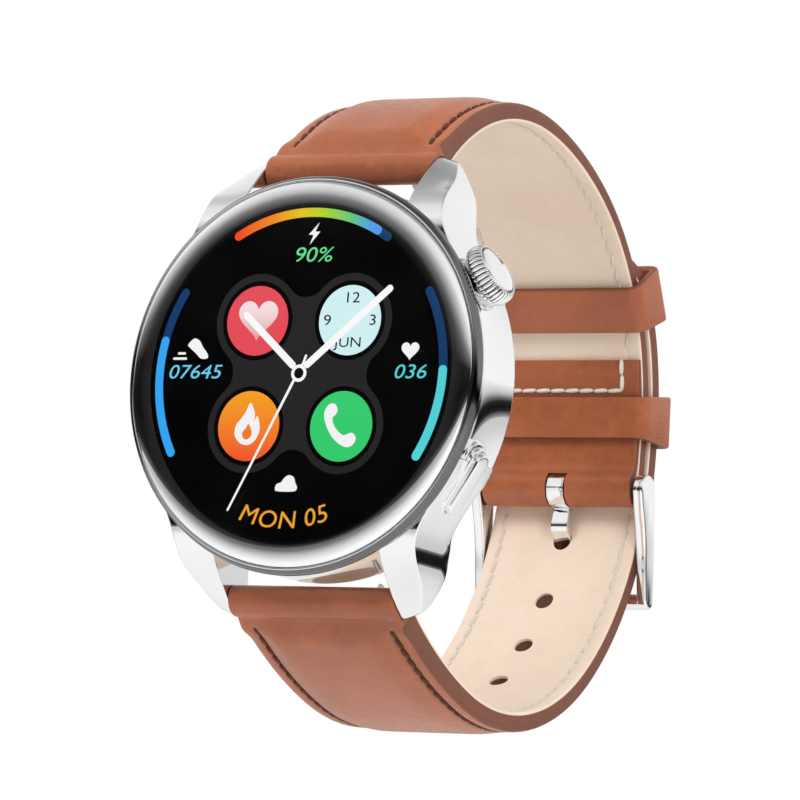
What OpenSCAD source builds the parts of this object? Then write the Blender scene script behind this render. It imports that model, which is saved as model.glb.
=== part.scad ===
// Round smartwatch on a two-piece leather strap, buckled into a loop.
// X runs to 3 o'clock (the crown side), Z runs to 12 o'clock, and Y runs from the
// screen to the wrist. The origin is the middle of the sensor window's flat face.

/* [Case] */
// Radius of the bezel, the widest round of the case
case_r = 23.1; // [21.5:0.1:27.9]
// Case depth from the sensor window to the front of the glass
case_depth = 12; // [11.9:0.1:14.4]
// How far the middle of the case flank stands in from the bezel
waist_inset = 0.9; // [0.7:0.1:1]
// Thickness of the case wall, from bezel radius to the hollow
case_wall = 2.5; // [2.1:0.1:3]
// Distance of the lug tips from the middle of the dial
lug_reach = 27; // [26.5:0.1:32]
// Free width between the lugs
lug_gap = 22; // [20:0.5:24]
// Width of a lug at its tip
lug_tip_w = 2.7; // [2.3:0.1:3]
// Depth of the lug tips behind the glass front
lug_drop = 9.3; // [9:0.1:10]

/* [Glass and display] */
// Thickness of the cover glass at its middle
glass_t = 1.1; // [0.9:0.05:1.15]
// Width of the bezel's front ring
bezel_w = 0.77; // [0.6:0.01:0.95]
// Height by which the curved glass stands over the bezel
glass_dome = 0.8; // [0.6:0.05:1]
// Thickness of the display panel
display_t = 1.15; // [0.9:0.05:1.2]

/* [Crown and button] */
// Angle of the crown above 3 o'clock
crown_angle = 30; // [27:1:34]
// Angle of the button, below 3 o'clock
button_angle = -30.5; // [-34:0.5:-27]
// Radius of the crown head
crown_r = 3.65; // [3:0.05:4.4]
// Thickness of the crown head
crown_t = 2.3; // [1.9:0.05:2.8]
// Number of flutes round the crown
crown_flutes = 36; // [24:1:44]
// Radius of the crown stem
stem_r = 0.75; // [0.6:0.05:0.9]
// Travel of the crown and of the button
press = 0.4; // [0.3:0.05:0.45]
// Length of the button cap
button_l = 9; // [7.5:0.1:10.8]
// Width of the button cap
button_w = 3.2; // [2.6:0.1:3.6]
// Height of the button cap over its collar
button_h = 1.3; // [1:0.1:1.6]

/* [Strap] */
// Width of the strap at the lugs
strap_w = 21.6; // [19.2:0.1:21.8]
// Width of the strap at the buckle
strap_w_back = 20.4; // [17:0.1:20.6]
// Thickness of the lining leather
lining_t = 0.8; // [0.6:0.05:1]
// Thickness of the outer leather of the buckle half
short_leather_t = 1.3; // [1:0.05:1.5]
// Thickness of the outer leather of the holed half
long_leather_t = 1.6; // [1.3:0.05:1.9]
// Extra thickness of the padding at the lugs
pad_t = 1.5; // [1.2:0.05:1.8]
// Length over which the padding thins out
pad_l = 46; // [40:1:48]
// Pitch of the adjusting holes
hole_pitch = 7.5; // [6:0.5:8]
// Width of an adjusting hole
hole_w = 2.4; // [2:0.1:2.8]

/* [Keepers and buckle] */
// Width of the sliding keeper along the strap
free_keeper_w = 5.3; // [4.4:0.1:5.8]
// Width of the fixed keeper along the strap
fixed_keeper_w = 4.8; // [4:0.1:5.2]
// Thickness of the keeper leather
keeper_t = 1.1; // [0.8:0.05:1.3]
// Radius of the leather fold round the buckle bar
buckle_fold_r = 2.1; // [1.9:0.05:2.2]
// Distance from the buckle bar to the front bar
buckle_reach = 13.6; // [13:0.1:15]
// Radius of the front bar
front_bar_r = 1; // [0.9:0.05:1.1]
// Thickness of each buckle arm
arm_t = 1.4; // [1.2:0.05:1.7]
// Width of the tongue
tongue_w = 2.3; // [1.8:0.05:2.6]
// Thickness of the tongue
tongue_t = 0.9; // [0.7:0.05:0.95]

/* [Spring bars] */
// Radius of a spring bar's tube
bar_r = 0.75; // [0.65:0.05:0.9]
// Radius of a spring bar's pins
pin_r = 0.4; // [0.3:0.05:0.45]
// Travel of a spring bar's sliding pin
pin_travel = 1.3; // [1.25:0.05:1.4]

/* [Hidden] */
$fn = 96;

run_fit = 0.05;        // radial clearance of turning and sliding fits
seat_fit = 0.02;       // gap between parts that seat on each other
soft_gap = 0.15;       // gap between leather parts that move past each other
tail_gap = 0.5;        // gap between the holed half and the buckle half behind it
far = 60;              // longer than any cut needs

// levels along Y
glass_y = -case_depth;
bezel_y = glass_y + glass_dome;
front_y = bezel_y + 1.3;          // the case's front face, under the bezel
ledge_y = bezel_y + 1.05;         // the step that carries the glass
display_y = glass_y + glass_t;
back_y = -1.2;                    // the case's flat back
plate_t = 1.4;                    // the case back's thickness
crown_y = -6.3;                   // axis of the crown and the button

// radii of the case
ring_in = case_r - bezel_w;
rim_r = case_r - 0.2;             // the case's back edge
waist_r = case_r - waist_inset;
hollow_r = case_r - case_wall;
ledge_r = hollow_r + 0.3;
back_r = hollow_r - 1.55;         // the case back
back_open_r = back_r - 1.15;      // the way in behind the case back
screw_at = back_open_r - 1.1;
screw_r = 0.6;
window_r = 8.6;

// strap bars and paths
lug_bar = [-3.1, lug_reach - 1.8];
lug_fold_r = 1.85;
lining_off = 2.05;                // the lining's distance from the lug bar's axis
short_t = lining_t + short_leather_t;
long_t = lining_t + long_leather_t;

// A path is a list of [y, z, heading]; a leg is [radius, turn] or [0, length].
function leg(p, s) = s[0] == 0
    ? [[p[0] + s[1] * cos(p[2]), p[1] + s[1] * sin(p[2]), p[2]]]
    : let (n = ceil(abs(s[1]) / 2.5))
      [for (i = [1:n]) let (h = p[2] + s[1] * i / n)
          [p[0] + s[0] * (sin(h) - sin(p[2])), p[1] - s[0] * (cos(h) - cos(p[2])), h]];
function walk(p, legs, i = 0) = i == len(legs) ? []
    : let (q = leg(p, legs[i])) concat(q, walk(q[len(q) - 1], legs, i + 1));
function path(p, legs) = concat([p], walk(p, legs));
function last(v) = v[len(v) - 1];
function flip(v) = [for (i = [len(v) - 1:-1:0]) v[i]];
function gone(p, i) = i == 0 ? 0 : gone(p, i - 1) + norm([p[i][0] - p[i - 1][0], p[i][1] - p[i - 1][1]]);
// the point a distance s along a path
function spot(p, s, i = 1) = let (a = gone(p, i - 1), b = gone(p, i)) s > b ? spot(p, s, i + 1)
    : [for (k = [0:2]) p[i - 1][k] + (s - a) / (b - a) * (p[i][k] - p[i - 1][k])];
function side(p, d) = [for (i = [0:len(p) - 1]) let (o = is_num(d) ? d : d[i])
    [p[i][0] - o * sin(p[i][2]), p[i][1] + o * cos(p[i][2])]];
function pads(p) = [for (i = [0:len(p) - 1]) pad_t * pow(max(0, 1 - gone(p, i) / pad_l), 2)];
function shift(d, k) = [for (v = d) -v - k];

// The holed half leaves the lower lug; its path is the face of its lining.
long_h = -34.3;
long_start = [lug_bar[0] - lining_off * sin(long_h), -lug_bar[1] + lining_off * cos(long_h), long_h];
long_low = path(long_start, [[0, 5], [50, 16.5], [30, 61.8]]);
arc_y = 23.1;                     // middle of the arc that the back of the loop follows
arc_z = 3.3;
arc_r = 30.8;                     // lining face of the buckle half on that arc
arc_back = arc_y + arc_r;
buckle_bar = [arc_back + short_t + 0.05 - buckle_fold_r, -3.4];
tail_r = arc_r + short_t + tail_gap;
tail_turn = 46;
// the rise brings the holed half upright just outside the buckle half
rise = 90 - last(long_low)[2];
rise_r = (arc_y + tail_r - last(long_low)[0]) / (1 - cos(rise));
long_body = concat(long_low, walk(last(long_low), [[rise_r, rise]]));
long_path = concat(long_body, walk(last(long_body), [[0, arc_z - last(long_body)[1]], [tail_r, tail_turn]]));
tip_l = 7;

// The buckle half runs from the back of the loop up to the upper lug.
short_legs = [[arc_r, 60], [39.2, 20.8], [27.5, 57.6], [0, 2.6]];
short_back = path([arc_back, arc_z, 90], short_legs);
short_path = flip(concat([[arc_back, buckle_bar[1], 90]], short_back));
short_end_h = last(short_back)[2];

// swings a (y, z) outline out along X
module across(w) rotate([90, 0, 90]) linear_extrude(w, center = true) children();
// turns an (x, r) outline about an X line at y, z
module round_x(y, z, from = 0, turn = 360)
    translate([0, y, z]) rotate([90, 0, 90]) rotate_extrude(angle = turn, start = from) children();
// turns a (radius, y) outline about the Y axis
module turned() rotate([-90, 0, 0]) rotate_extrude($fn = 180) children();
// local frame whose +X points out of the case at angle a
module at_flank(a) translate([0, crown_y, 0]) rotate([0, -a, 0]) children();
module rod(r, from, to) translate([from, 0, 0]) rotate([0, 90, 0]) cylinder(r = r, h = to - from);
module disc_y(r, from, to) translate([0, from, 0]) rotate([-90, 0, 0]) cylinder(r = r, h = to - from);
module bar_rod(p, r, from, to) translate([0, p[0], p[1]]) rod(r, from, to);
module slot2d(l, w) union() {
    square([l - w, w], center = true);
    for (s = [-1, 1]) translate([s * (l - w) / 2, 0]) circle(d = w);
}
// a long rounded bar standing out of the flank, its length along the rim
module pill(l, w, from, to) translate([from, 0, 0]) rotate([90, 0, 90])
    linear_extrude(to - from) rotate(90) slot2d(l, w);

module strap_taper() linear_extrude(far * 2, center = true)
    polygon([for (s = [[-1, -10], [1, -10], [1, far], [-1, far]])
        [s[0] * (s[1] < 0 ? strap_w : strap_w_back) / 2, s[1]]]);

// ---- case ----
flank_n = 12;
function flank(i) = let (t = i / flank_n, u = 2 * t - 1)
    [waist_r + (rim_r - waist_r) * u * u, front_y + (back_y - 1 - front_y) * t];

module case_round() turned() polygon(concat(
    [[0, front_y]], [for (i = [0:flank_n]) flank(i)],
    [[rim_r - 0.35, back_y - 0.4], [rim_r - 1.4, back_y], [0, back_y]]));

lug_in = lug_gap / 2;
lug_out = lug_in + lug_tip_w;
module lug_plan() polygon([
    [lug_in, 14], [lug_in, lug_reach], [lug_out, lug_reach - 1], [lug_out + 1.1, lug_reach - 3],
    [lug_out + 1.8, lug_reach - 5.5], [lug_out + 2.3, lug_reach - 8], [lug_out + 3.1, lug_reach - 10.4],
    [lug_out + 5, lug_reach - 13], [waist_r * cos(31), waist_r * sin(31)], [15, 8]]);
lug_y = glass_y + lug_drop;
module lug_side() polygon([
    [front_y, 0], [front_y, lug_reach - 8], [front_y + 0.35, lug_reach - 6.6],
    [front_y + 1.9, lug_reach - 4.7], [front_y + 3.5, lug_reach - 3], [lug_y - 1.9, lug_reach - 1.4],
    [lug_y, lug_reach], [lug_y + 0.5, lug_reach], [lug_y + 1.7, lug_reach - 0.7],
    [-0.45, lug_reach - 2.1], [-0.2, lug_reach - 4], [-0.35, lug_reach - 8], [back_y, lug_reach - 10], [back_y, 0]]);
module lug() intersection() {
    rotate([90, 0, 0]) linear_extrude(far, center = true) lug_plan();
    across(far) lug_side();
}

module bar_holes(p, depth) for (s = [-1, 1]) scale([s, 1, 1])
    bar_rod(p, pin_r + run_fit, lug_in - 0.5, lug_in + depth);

module case_body() color("silver") difference() {
    union() {
        difference() {
            union() {
                case_round();
                for (s = [-1, 1], t = [0, 1]) scale([s, 1, 1]) mirror([0, 0, t]) lug();
                at_flank(button_angle) pill(button_l + 1.4, button_w + 1.3, hollow_r, rim_r - 0.15);
            }
            disc_y(ring_in - 0.18, front_y - 5, front_y + 0.65);
            disc_y(hollow_r, front_y, back_y - plate_t - 0.7);
            disc_y(back_open_r, front_y, 5);
            disc_y(back_r + seat_fit, back_y - plate_t, 5);
        }
        for (a = [45:90:315]) rotate([0, a, 0])
            translate([screw_at, 0, 0]) disc_y(1.7, back_y - plate_t - 3, back_y - plate_t);
    }
    // gasket groove, screw bores, crown seat and bore, button pocket and bore, lug holes
    turned() translate([back_open_r + 0.4, back_y - plate_t - 0.35]) square([0.45, 0.4]);
    for (a = [45:90:315]) rotate([0, a, 0])
        translate([screw_at, 0, 0]) disc_y(screw_r + seat_fit, back_y - plate_t - 2.6, 5);
    at_flank(crown_angle) {
        rod(skirt_r + 0.3, waist_r - 0.5, far);
        rod(crown_r + 0.1, head_in - press - 0.1, far);
        rod(tube_r, hollow_r - 1, far);
    }
    at_flank(button_angle) {
        pill(button_l + 0.16, button_w + 0.16, pocket_r, far);
        rod(plunger_r + run_fit, hollow_r - 1, far);
    }
    for (z = [-1, 1]) bar_holes([lug_bar[0], z * lug_bar[1]], 1.4);
}

module bezel_ring() color("gainsboro") turned() polygon([
    [ring_in, bezel_y], [case_r - 0.3, bezel_y], [case_r, bezel_y + 0.35], [case_r, front_y - seat_fit],
    [ring_in - 0.23, front_y - seat_fit], [ring_in - 0.23, front_y + 0.6], [ledge_r, front_y + 0.6],
    [ledge_r, ledge_y], [ring_in, ledge_y]]);

glass_r = ring_in - 0.05;
glass_side_y = bezel_y + 0.1;
module cover_glass() color([0.1, 0.1, 0.12, 0.6]) turned() polygon(concat(
    [[0, display_y], [0, glass_y]],
    [for (a = [0:15:90]) [glass_r - 3 + 3 * sin(a), glass_side_y - (glass_side_y - glass_y) * cos(a)]],
    [[glass_r, ledge_y - 0.13], [ledge_r + 0.05, ledge_y - 0.13], [ledge_r + 0.05, display_y]]));

module glass_gasket() color("black") turned()
    translate([ledge_r + 0.1, ledge_y - 0.12]) square([glass_r - ledge_r - 0.2, 0.1]);

module display_panel() color("black") disc_y(ledge_r - 0.15, display_y + seat_fit, display_y + display_t);

// ---- inside ----
frame_y = front_y + 0.7;
board_y = frame_y + 0.8;
board_t = 0.8;
pack_y = board_y + board_t + 1.1;       // front of the battery, motor and speaker
pack_back = back_y - plate_t - 0.9;
module inner_frame() color("dimgray") difference() {
    disc_y(hollow_r - run_fit, frame_y, back_y - plate_t - 0.75);
    disc_y(hollow_r - 1.3, frame_y + 0.6, 5);
    translate([-6, frame_y - 1, -17]) cube([12, 3, 5]);
    for (a = [crown_angle, button_angle]) at_flank(a)
        translate([hollow_r - 3, -2.2, -3.2]) cube([5, 4.4, 6.4]);
}
module main_board() color("darkgreen") difference() {
    disc_y(hollow_r - 2.2, board_y, board_y + board_t);
    translate([-6.2, board_y - 1, -17.2]) cube([12.4, 3, 5.4]);
}
module shield_cans() color("lightgray") for (b = [[-11, -4, 12, 9], [3, -5, 8, 8]])
    translate([b[0], board_y + board_t + 0.01, b[1]]) cube([b[2], 1, b[3]]);
module battery() color("slategray") translate([-11, pack_y, -9]) cube([22, pack_back - pack_y, 18]);
module vibration_motor() color("lightsteelblue") translate([0, 0, -14.3])
    disc_y(3.8, pack_y, pack_back - 0.2);
module speaker() color("darkslategray") translate([-5.5, pack_y, 11]) cube([11, pack_back - pack_y, 5.5]);

// ---- crown: the head turns on a stem that slides ----
head_out = waist_r + 3.2;
head_in = head_out - crown_t;
skirt_in = waist_r + 0.15;
skirt_r = crown_r - 0.75;
head_bevel = 0.5;
tube_r = stem_r * 2;
tube_out = skirt_in + 0.45;
stem_in = hollow_r - 1.4;
module crown_head() color("whitesmoke") at_flank(crown_angle) difference() {
    union() {
        rod(skirt_r, skirt_in, skirt_in + 0.55);
        rod(skirt_r - 0.45, skirt_in + 0.5, head_in + 0.1);
        round_x(0, 0) polygon([[0, head_in], [crown_r - head_bevel, head_in], [crown_r, head_in + head_bevel],
            [crown_r, head_out - 0.35], [crown_r - 0.3, head_out], [0, head_out]]);
    }
    for (i = [0:crown_flutes - 1]) rotate([i * 360 / crown_flutes, 0, 0]) {
        translate([0, 0, crown_r + 0.1]) rod(0.22, head_in - 0.1, head_out - 0.45, $fn = 16);
        translate([0, 0, skirt_r + 0.1]) rod(0.18, skirt_in - 0.1, skirt_in + 0.6, $fn = 16);
    }
    rod(stem_r + run_fit, 0, head_out - 0.8);
    rod(tube_r + 0.65, 0, tube_out + press + 0.1);
    rod(crown_r - 0.75, head_out - 0.08, far);
}
module crown_stem() color("gray") at_flank(crown_angle) {
    rod(stem_r, stem_in, head_out - 0.85);
    rod(stem_r + 0.45, stem_in, stem_in + 0.5);
}
module crown_tube() color("goldenrod") at_flank(crown_angle) difference() {
    rod(tube_r, hollow_r - 0.3, tube_out);
    rod(stem_r + run_fit, 0, far);
}
module crown_seal() color("black") at_flank(crown_angle) difference() {
    rod(tube_r + 0.5, tube_out - 0.35, tube_out - 0.05);
    rod(tube_r, 0, far);
}
// a switch stands on the board, its face one travel in from the stem that presses it
module switch_box(stem_end) translate([stem_end - press - 0.95, board_y + board_t + seat_fit - crown_y, -1.5])
    cube([0.9, 2.2, 3]);
module crown_switch() color("gold") at_flank(crown_angle) switch_box(stem_in);

// ---- button ----
collar_out = rim_r - 0.15;
pocket_r = waist_r - 1;
plunger_r = 0.6;
plunger_in = hollow_r - 1.2;
button_seal_t = 0.25;
cap_in = pocket_r + button_seal_t + press + 0.07;
module button_cap() color("whitesmoke") at_flank(button_angle) difference() {
    union() {
        pill(button_l, button_w, cap_in, collar_out + button_h - 0.3);
        pill(button_l - 0.6, button_w - 0.6, collar_out, collar_out + button_h);
    }
    rod(plunger_r, 0, cap_in + 0.6);
}
module button_stem() color("gray") at_flank(button_angle) rod(plunger_r, plunger_in, cap_in + 0.6);
module button_clip() color("dimgray") at_flank(button_angle) difference() {
    rod(plunger_r + 0.7, hollow_r - 0.75, hollow_r - 0.5);
    rod(plunger_r, 0, far);
}
module button_seal() color("black") at_flank(button_angle) difference() {
    rod(plunger_r + 0.4, pocket_r + 0.01, pocket_r + button_seal_t);
    rod(plunger_r + run_fit, 0, far);
}
module button_switch() color("gold") at_flank(button_angle) switch_box(plunger_in);

// ---- back ----
plate_in = back_y - plate_t;
module back_bores(r, from, to) for (a = [45:90:315]) rotate([0, a, 0])
    translate([screw_at, 0, 0]) disc_y(r, from, to);
module pin_spots(r, from, to) for (s = [-1, 1]) translate([s * 2.2, 0, -15]) disc_y(r, from, to);
module case_back() color("lightgray") difference() {
    union() {
        disc_y(back_r - run_fit, plate_in + seat_fit, back_y);
        translate([0, back_y, 0]) rotate([-90, 0, 0]) cylinder(r1 = 13.5, r2 = 12.4, h = 0.8);
    }
    disc_y(window_r + run_fit, plate_in + 1.1, 5);
    disc_y(window_r - 1.2, plate_in - 1, 5);
    back_bores(screw_r + 0.05, plate_in - 1, 5);
    back_bores(1.15, back_y - 0.7, 5);
    pin_spots(0.8 + seat_fit, plate_in - 1, 5);
}
module back_gasket() color("orange") turned()
    translate([back_open_r + 0.45, plate_in - 0.33]) square([0.35, 0.33]);
module sensor_window() color([0.08, 0.08, 0.1, 0.8]) union() {
    disc_y(window_r, plate_in + 1.1 + seat_fit, -0.25);
    translate([0, -0.25, 0]) rotate([-90, 0, 0]) cylinder(r1 = window_r, r2 = window_r - 0.5, h = 0.25);
}
module sensor_board() color("darkgreen") union() {
    disc_y(window_r + 0.6, plate_in - 0.7, plate_in - 0.02);
    for (p = [[-3, 0], [3, 0], [0, -3.2], [0, 3.2], [0, 0]])
        translate([p[0] - 0.8, plate_in - 0.1, p[1] - 0.8]) cube([1.6, 0.9, 1.6]);
}
module charge_pins() color("gold") pin_spots(0.8, plate_in - 0.5, back_y + 0.08);
module back_screws() color("gray") difference() {
    union() {
        back_bores(screw_r, plate_in - 2.4, back_y - 0.3);
        back_bores(1.1, back_y - 0.7 + seat_fit, back_y - 0.1);
    }
    for (a = [45:90:315]) rotate([0, a, 0]) translate([screw_at, back_y - 0.4, 0])
        for (t = [0, 90]) rotate([0, t, 0]) translate([-0.7, 0, -0.13]) cube([1.4, 1, 0.26]);
}

// ---- spring bars: a tube with one fixed pin, and one pin that slides ----
lever_x = 7.4;
module bar_tube(p, half, reach) difference() {
    union() {
        bar_rod(p, bar_r, -half, half);
        bar_rod(p, pin_r, -reach, 1 - half);
    }
    bar_rod(p, pin_r + run_fit, 2.5, far);
}
// slit for the lever, in direction a round the bar
module lever_slit(p, a, w, h) translate([0, p[0], p[1]]) rotate([a, 0, 0])
    translate([lever_x - pin_travel - w, 0, -w]) cube([pin_travel + 2 * w, h, 2 * w]);
module lever(p, a) translate([lever_x, p[0], p[1]]) rotate([a - 90, 0, 0])
    cylinder(r = 0.35, h = lining_off + 0.7);
bar_half = lug_in - 0.35;
bar_reach = lug_in + 1.2;
bottom_a = long_h + 90;
top_a = short_end_h - 90 + 180;
bottom_bar = [lug_bar[0], -lug_bar[1]];
module top_bar_tube() color("silver") difference() {
    bar_tube(lug_bar, bar_half, bar_reach);
    lever_slit(lug_bar, top_a, 0.45, 2);
}
module top_bar_pin() color("lightsteelblue") union() {
    bar_rod(lug_bar, pin_r, lever_x - 1, bar_reach);
    lever(lug_bar, top_a);
}
module bottom_bar_tube() color("silver") difference() {
    bar_tube(bottom_bar, bar_half, bar_reach);
    lever_slit(bottom_bar, bottom_a, 0.45, 2);
}
module bottom_bar_pin() color("lightsteelblue") union() {
    bar_rod(bottom_bar, pin_r, lever_x - 1, bar_reach);
    lever(bottom_bar, bottom_a);
}
arm_in = strap_w_back / 2 + 0.35;
module buckle_bar_tube() color("silver") bar_tube(buckle_bar, arm_in - 0.15, arm_in + 1);
module buckle_bar_pin() color("lightsteelblue") bar_rod(buckle_bar, pin_r, 5, arm_in + 1);

// ---- leather ----
module band(p, inner, outer) across(strap_w + 2) polygon(concat(side(p, inner), flip(side(p, outer))));
function sub(v, a, b) = [for (i = [a:b]) v[i]];
module strap_cut() intersection() {
    strap_taper();
    children();
}
module lug_fold(p) bar_rod(p, lug_fold_r, -strap_w / 2, strap_w / 2);
module lug_room(p, a) union() {
    bar_rod(p, bar_r + 0.1, -far, far);
    lever_slit(p, a, 0.75, 5);
}
fold_z = buckle_bar[1];
flap_turn = 17.5;                 // the turned-back end lies on the lining up to here
flap_t = 0.8;
flap_path = path([arc_back, arc_z, 90], [[arc_r, flap_turn]]);
short_pads = pads(short_path);

module short_leather() color("sienna") difference() {
    strap_cut() union() {
        band(short_path, shift(short_pads, lining_t), shift(short_pads, short_t));
        lug_fold(lug_bar);
        bar_rod(buckle_bar, buckle_fold_r, -far / 2, far / 2);
        // the turned-back end, over the lining
        across(far) polygon(concat([[arc_back - seat_fit, fold_z]], side(flap_path, seat_fit),
            flip(side(flap_path, flap_t)),
            [[buckle_bar[0] - buckle_fold_r * sin(40) + 0.05, fold_z + buckle_fold_r * cos(40)]]));
    }
    lug_room(lug_bar, top_a);
    bar_rod(buckle_bar, bar_r + 0.1, -far, far);
    tongue_slot();
}
module tongue_slot() translate([-tongue_w / 2 - 0.2, buckle_bar[0] - 6, fold_z - 4])
    cube([tongue_w + 0.4, 12, 4 + buckle_fold_r + 0.5]);
module short_lining() color("wheat") difference() {
    strap_cut() band(short_path, 0, -lining_t + seat_fit);
    bar_rod(lug_bar, lug_fold_r + seat_fit, -far, far);
    lug_room(lug_bar, top_a);
    bar_rod(buckle_bar, buckle_fold_r + seat_fit, -far, far);
    tongue_slot();
}
// the filler stops where it would be thinner than a skived edge
function pad_run(p) = len([for (v = pads(p)) if (v > 0.15) v]) - 1;
module pad(p, bar) let (n = pad_run(p), q = sub(p, 0, n), d = sub(pads(p), 0, n))
    intersection() {
        difference() {
            band(q, -lining_t - seat_fit, shift(d, lining_t - seat_fit));
            bar_rod(bar, lug_fold_r + seat_fit, -far, far);
        }
        cube([strap_w_back - 3, far * 4, far * 4], center = true);
    }
module short_pad() color("tan") pad(short_path, lug_bar);

long_pads = pads(long_path);
// the tail narrows to a blunt point
tip = last(long_path);
module tail_point() translate([0, tip[0], tip[1]]) rotate([tip[2], 0, 0]) {
    for (s = [-1, 1]) scale([s, 1, 1]) linear_extrude(far, center = true)
        polygon([[strap_w / 2 + 1, -tip_l], [strap_w_back / 2 - 0.2, -tip_l], [strap_w_back / 2 - 2, -tip_l * 0.45],
            [strap_w_back / 2 - 5, -1], [strap_w_back / 2 - 8, 1], [strap_w / 2 + 1, 1]]);
}
// holes in the tail; the tongue sits in the one that is hole_run from the lug bar
hole_run = 69.6;
module hole(q) translate([0, q[0], q[1]]) rotate([q[2] - 90, 0, 0]) rotate([90, 0, 0])
    cylinder(d = hole_w, h = 12, center = true);
module holes() union() {
    for (k = [-2, -1, 1, 2, 3]) hole(spot(long_path, hole_run - k * hole_pitch));
    tongue_way();
}
module long_leather() color("sienna") difference() {
    strap_cut() union() {
        band(long_path, shift(long_pads, lining_t), shift(long_pads, long_t));
        lug_fold(bottom_bar);
    }
    lug_room(bottom_bar, bottom_a);
    holes();
    tail_point();
}
module long_lining() color("wheat") difference() {
    strap_cut() band(long_path, 0, -lining_t + seat_fit);
    bar_rod(bottom_bar, lug_fold_r + seat_fit, -far, far);
    lug_room(bottom_bar, bottom_a);
    holes();
    tail_point();
}
module long_pad() color("tan") pad(long_path, bottom_bar);

// ---- keepers: leather rings that follow the arc at the back of the loop ----
module keeper(mid, w, in_gap) let (a = w / arc_r * 180 / PI, hw = strap_w_back / 2 + 0.35,
        r0 = arc_r - flap_t * in_gap - soft_gap, r1 = tail_r + long_t + soft_gap)
    round_x(arc_y, arc_z, mid - a / 2, a) difference() {
        translate([r0 - keeper_t, -hw - keeper_t]) square([r1 - r0 + 2 * keeper_t, 2 * (hw + keeper_t)]);
        translate([r0, -hw]) square([r1 - r0, 2 * hw]);
    }
free_keeper_at = 29;
module free_keeper() color("saddlebrown") keeper(free_keeper_at, free_keeper_w, 0);
module fixed_keeper() color("saddlebrown") keeper(4, fixed_keeper_w, 1);

// ---- buckle ----
frame_a = -79.6;                  // lean of the frame, from straight out along Y
front_bar = buckle_bar + buckle_reach * [cos(frame_a), sin(frame_a)];
ear_r = 1.9;
// frame whose +Y points from the buckle bar to the front bar
module at_buckle() translate([0, buckle_bar[0], buckle_bar[1]]) rotate([frame_a, 0, 0]) children();
module arm_outline() union() {
    circle(r = ear_r);
    translate([buckle_reach, 0]) circle(r = front_bar_r);
    polygon([[0, ear_r], [buckle_reach * 0.5, 1.55], [buckle_reach, front_bar_r], [buckle_reach, -front_bar_r],
        [buckle_reach * 0.5, -1.1], [0, -ear_r]]);
}
module buckle_frame() color("whitesmoke") difference() {
    at_buckle() union() {
        for (s = [-1, 1]) translate([s * (arm_in + arm_t / 2), 0, 0]) across(arm_t) arm_outline();
        translate([0, buckle_reach, 0]) rod(front_bar_r, -arm_in - 0.2, arm_in + 0.2);
    }
    bar_rod(buckle_bar, pin_r + run_fit, -arm_in - 1.05, arm_in + 1.05);
}
// The tongue leaves its eye along the tail, bends, and goes out through the hole.
tongue_bend = [53.75, -9.4];
bar_at = front_bar - tongue_bend;
tongue_a = atan2(bar_at[1], bar_at[0]) + asin((front_bar_r + tongue_t / 2 + seat_fit) / norm(bar_at));
tongue_tip = tongue_bend + (norm(bar_at) + 1.4) * [cos(tongue_a), sin(tongue_a)];
module strip(a, b, t, w) let (d = [b[0] - a[0], b[1] - a[1]], l = norm(d))
    translate([0, a[0], a[1]]) rotate([atan2(d[1], d[0]), 0, 0]) translate([-w / 2, 0, -t / 2]) cube([w, l, t]);
module tongue_way() strip(tongue_bend - [1.4, -2.6], tongue_tip + [1.4, -2.6], tongue_t + 2.6, tongue_w + 0.5);
tongue_root = buckle_bar + [0.9, -1.2];
root_at = tongue_bend - tongue_root;
root_a = atan2(root_at[1], root_at[0]);
bend_r = 1.5;
bend_k = bend_r * tan((tongue_a - root_a) / 2);
tongue_path = path([tongue_root[0], tongue_root[1], root_a], [[0, norm(root_at) - bend_k],
    [bend_r, tongue_a - root_a], [0, norm(tongue_tip - tongue_bend) - bend_k]]);
module buckle_tongue() color("whitesmoke") difference() {
    union() {
        bar_rod(buckle_bar, 2.3, -tongue_w / 2, tongue_w / 2);
        across(tongue_w) polygon(concat(side(tongue_path, tongue_t / 2), flip(side(tongue_path, -tongue_t / 2))));
    }
    bar_rod(buckle_bar, bar_r + run_fit, -far, far);
}

case_body();
bezel_ring();
cover_glass();
glass_gasket();
display_panel();
inner_frame();
main_board();
shield_cans();
battery();
vibration_motor();
speaker();
crown_head();
crown_stem();
crown_tube();
crown_seal();
crown_switch();
button_cap();
button_stem();
button_clip();
button_seal();
button_switch();
case_back();
back_gasket();
sensor_window();
sensor_board();
charge_pins();
back_screws();
top_bar_tube();
top_bar_pin();
bottom_bar_tube();
bottom_bar_pin();
buckle_bar_tube();
buckle_bar_pin();
short_leather();
short_lining();
short_pad();
long_leather();
long_lining();
long_pad();
free_keeper();
fixed_keeper();
buckle_frame();
buckle_tongue();
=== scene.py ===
import math

import bmesh
import bpy
from mathutils import Matrix, Vector


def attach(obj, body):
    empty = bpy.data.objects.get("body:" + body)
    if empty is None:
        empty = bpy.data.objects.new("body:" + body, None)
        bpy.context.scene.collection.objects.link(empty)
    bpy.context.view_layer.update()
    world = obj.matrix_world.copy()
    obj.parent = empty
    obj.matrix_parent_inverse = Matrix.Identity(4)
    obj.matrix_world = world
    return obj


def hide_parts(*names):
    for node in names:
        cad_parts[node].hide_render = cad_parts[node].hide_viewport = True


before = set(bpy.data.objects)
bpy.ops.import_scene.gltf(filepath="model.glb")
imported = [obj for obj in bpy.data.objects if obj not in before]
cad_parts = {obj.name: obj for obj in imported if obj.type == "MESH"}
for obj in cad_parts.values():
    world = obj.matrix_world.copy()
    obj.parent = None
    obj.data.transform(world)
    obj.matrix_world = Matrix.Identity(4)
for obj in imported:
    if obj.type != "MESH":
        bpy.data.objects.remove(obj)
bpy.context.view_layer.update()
scene = bpy.context.scene
mm = 0.001

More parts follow.
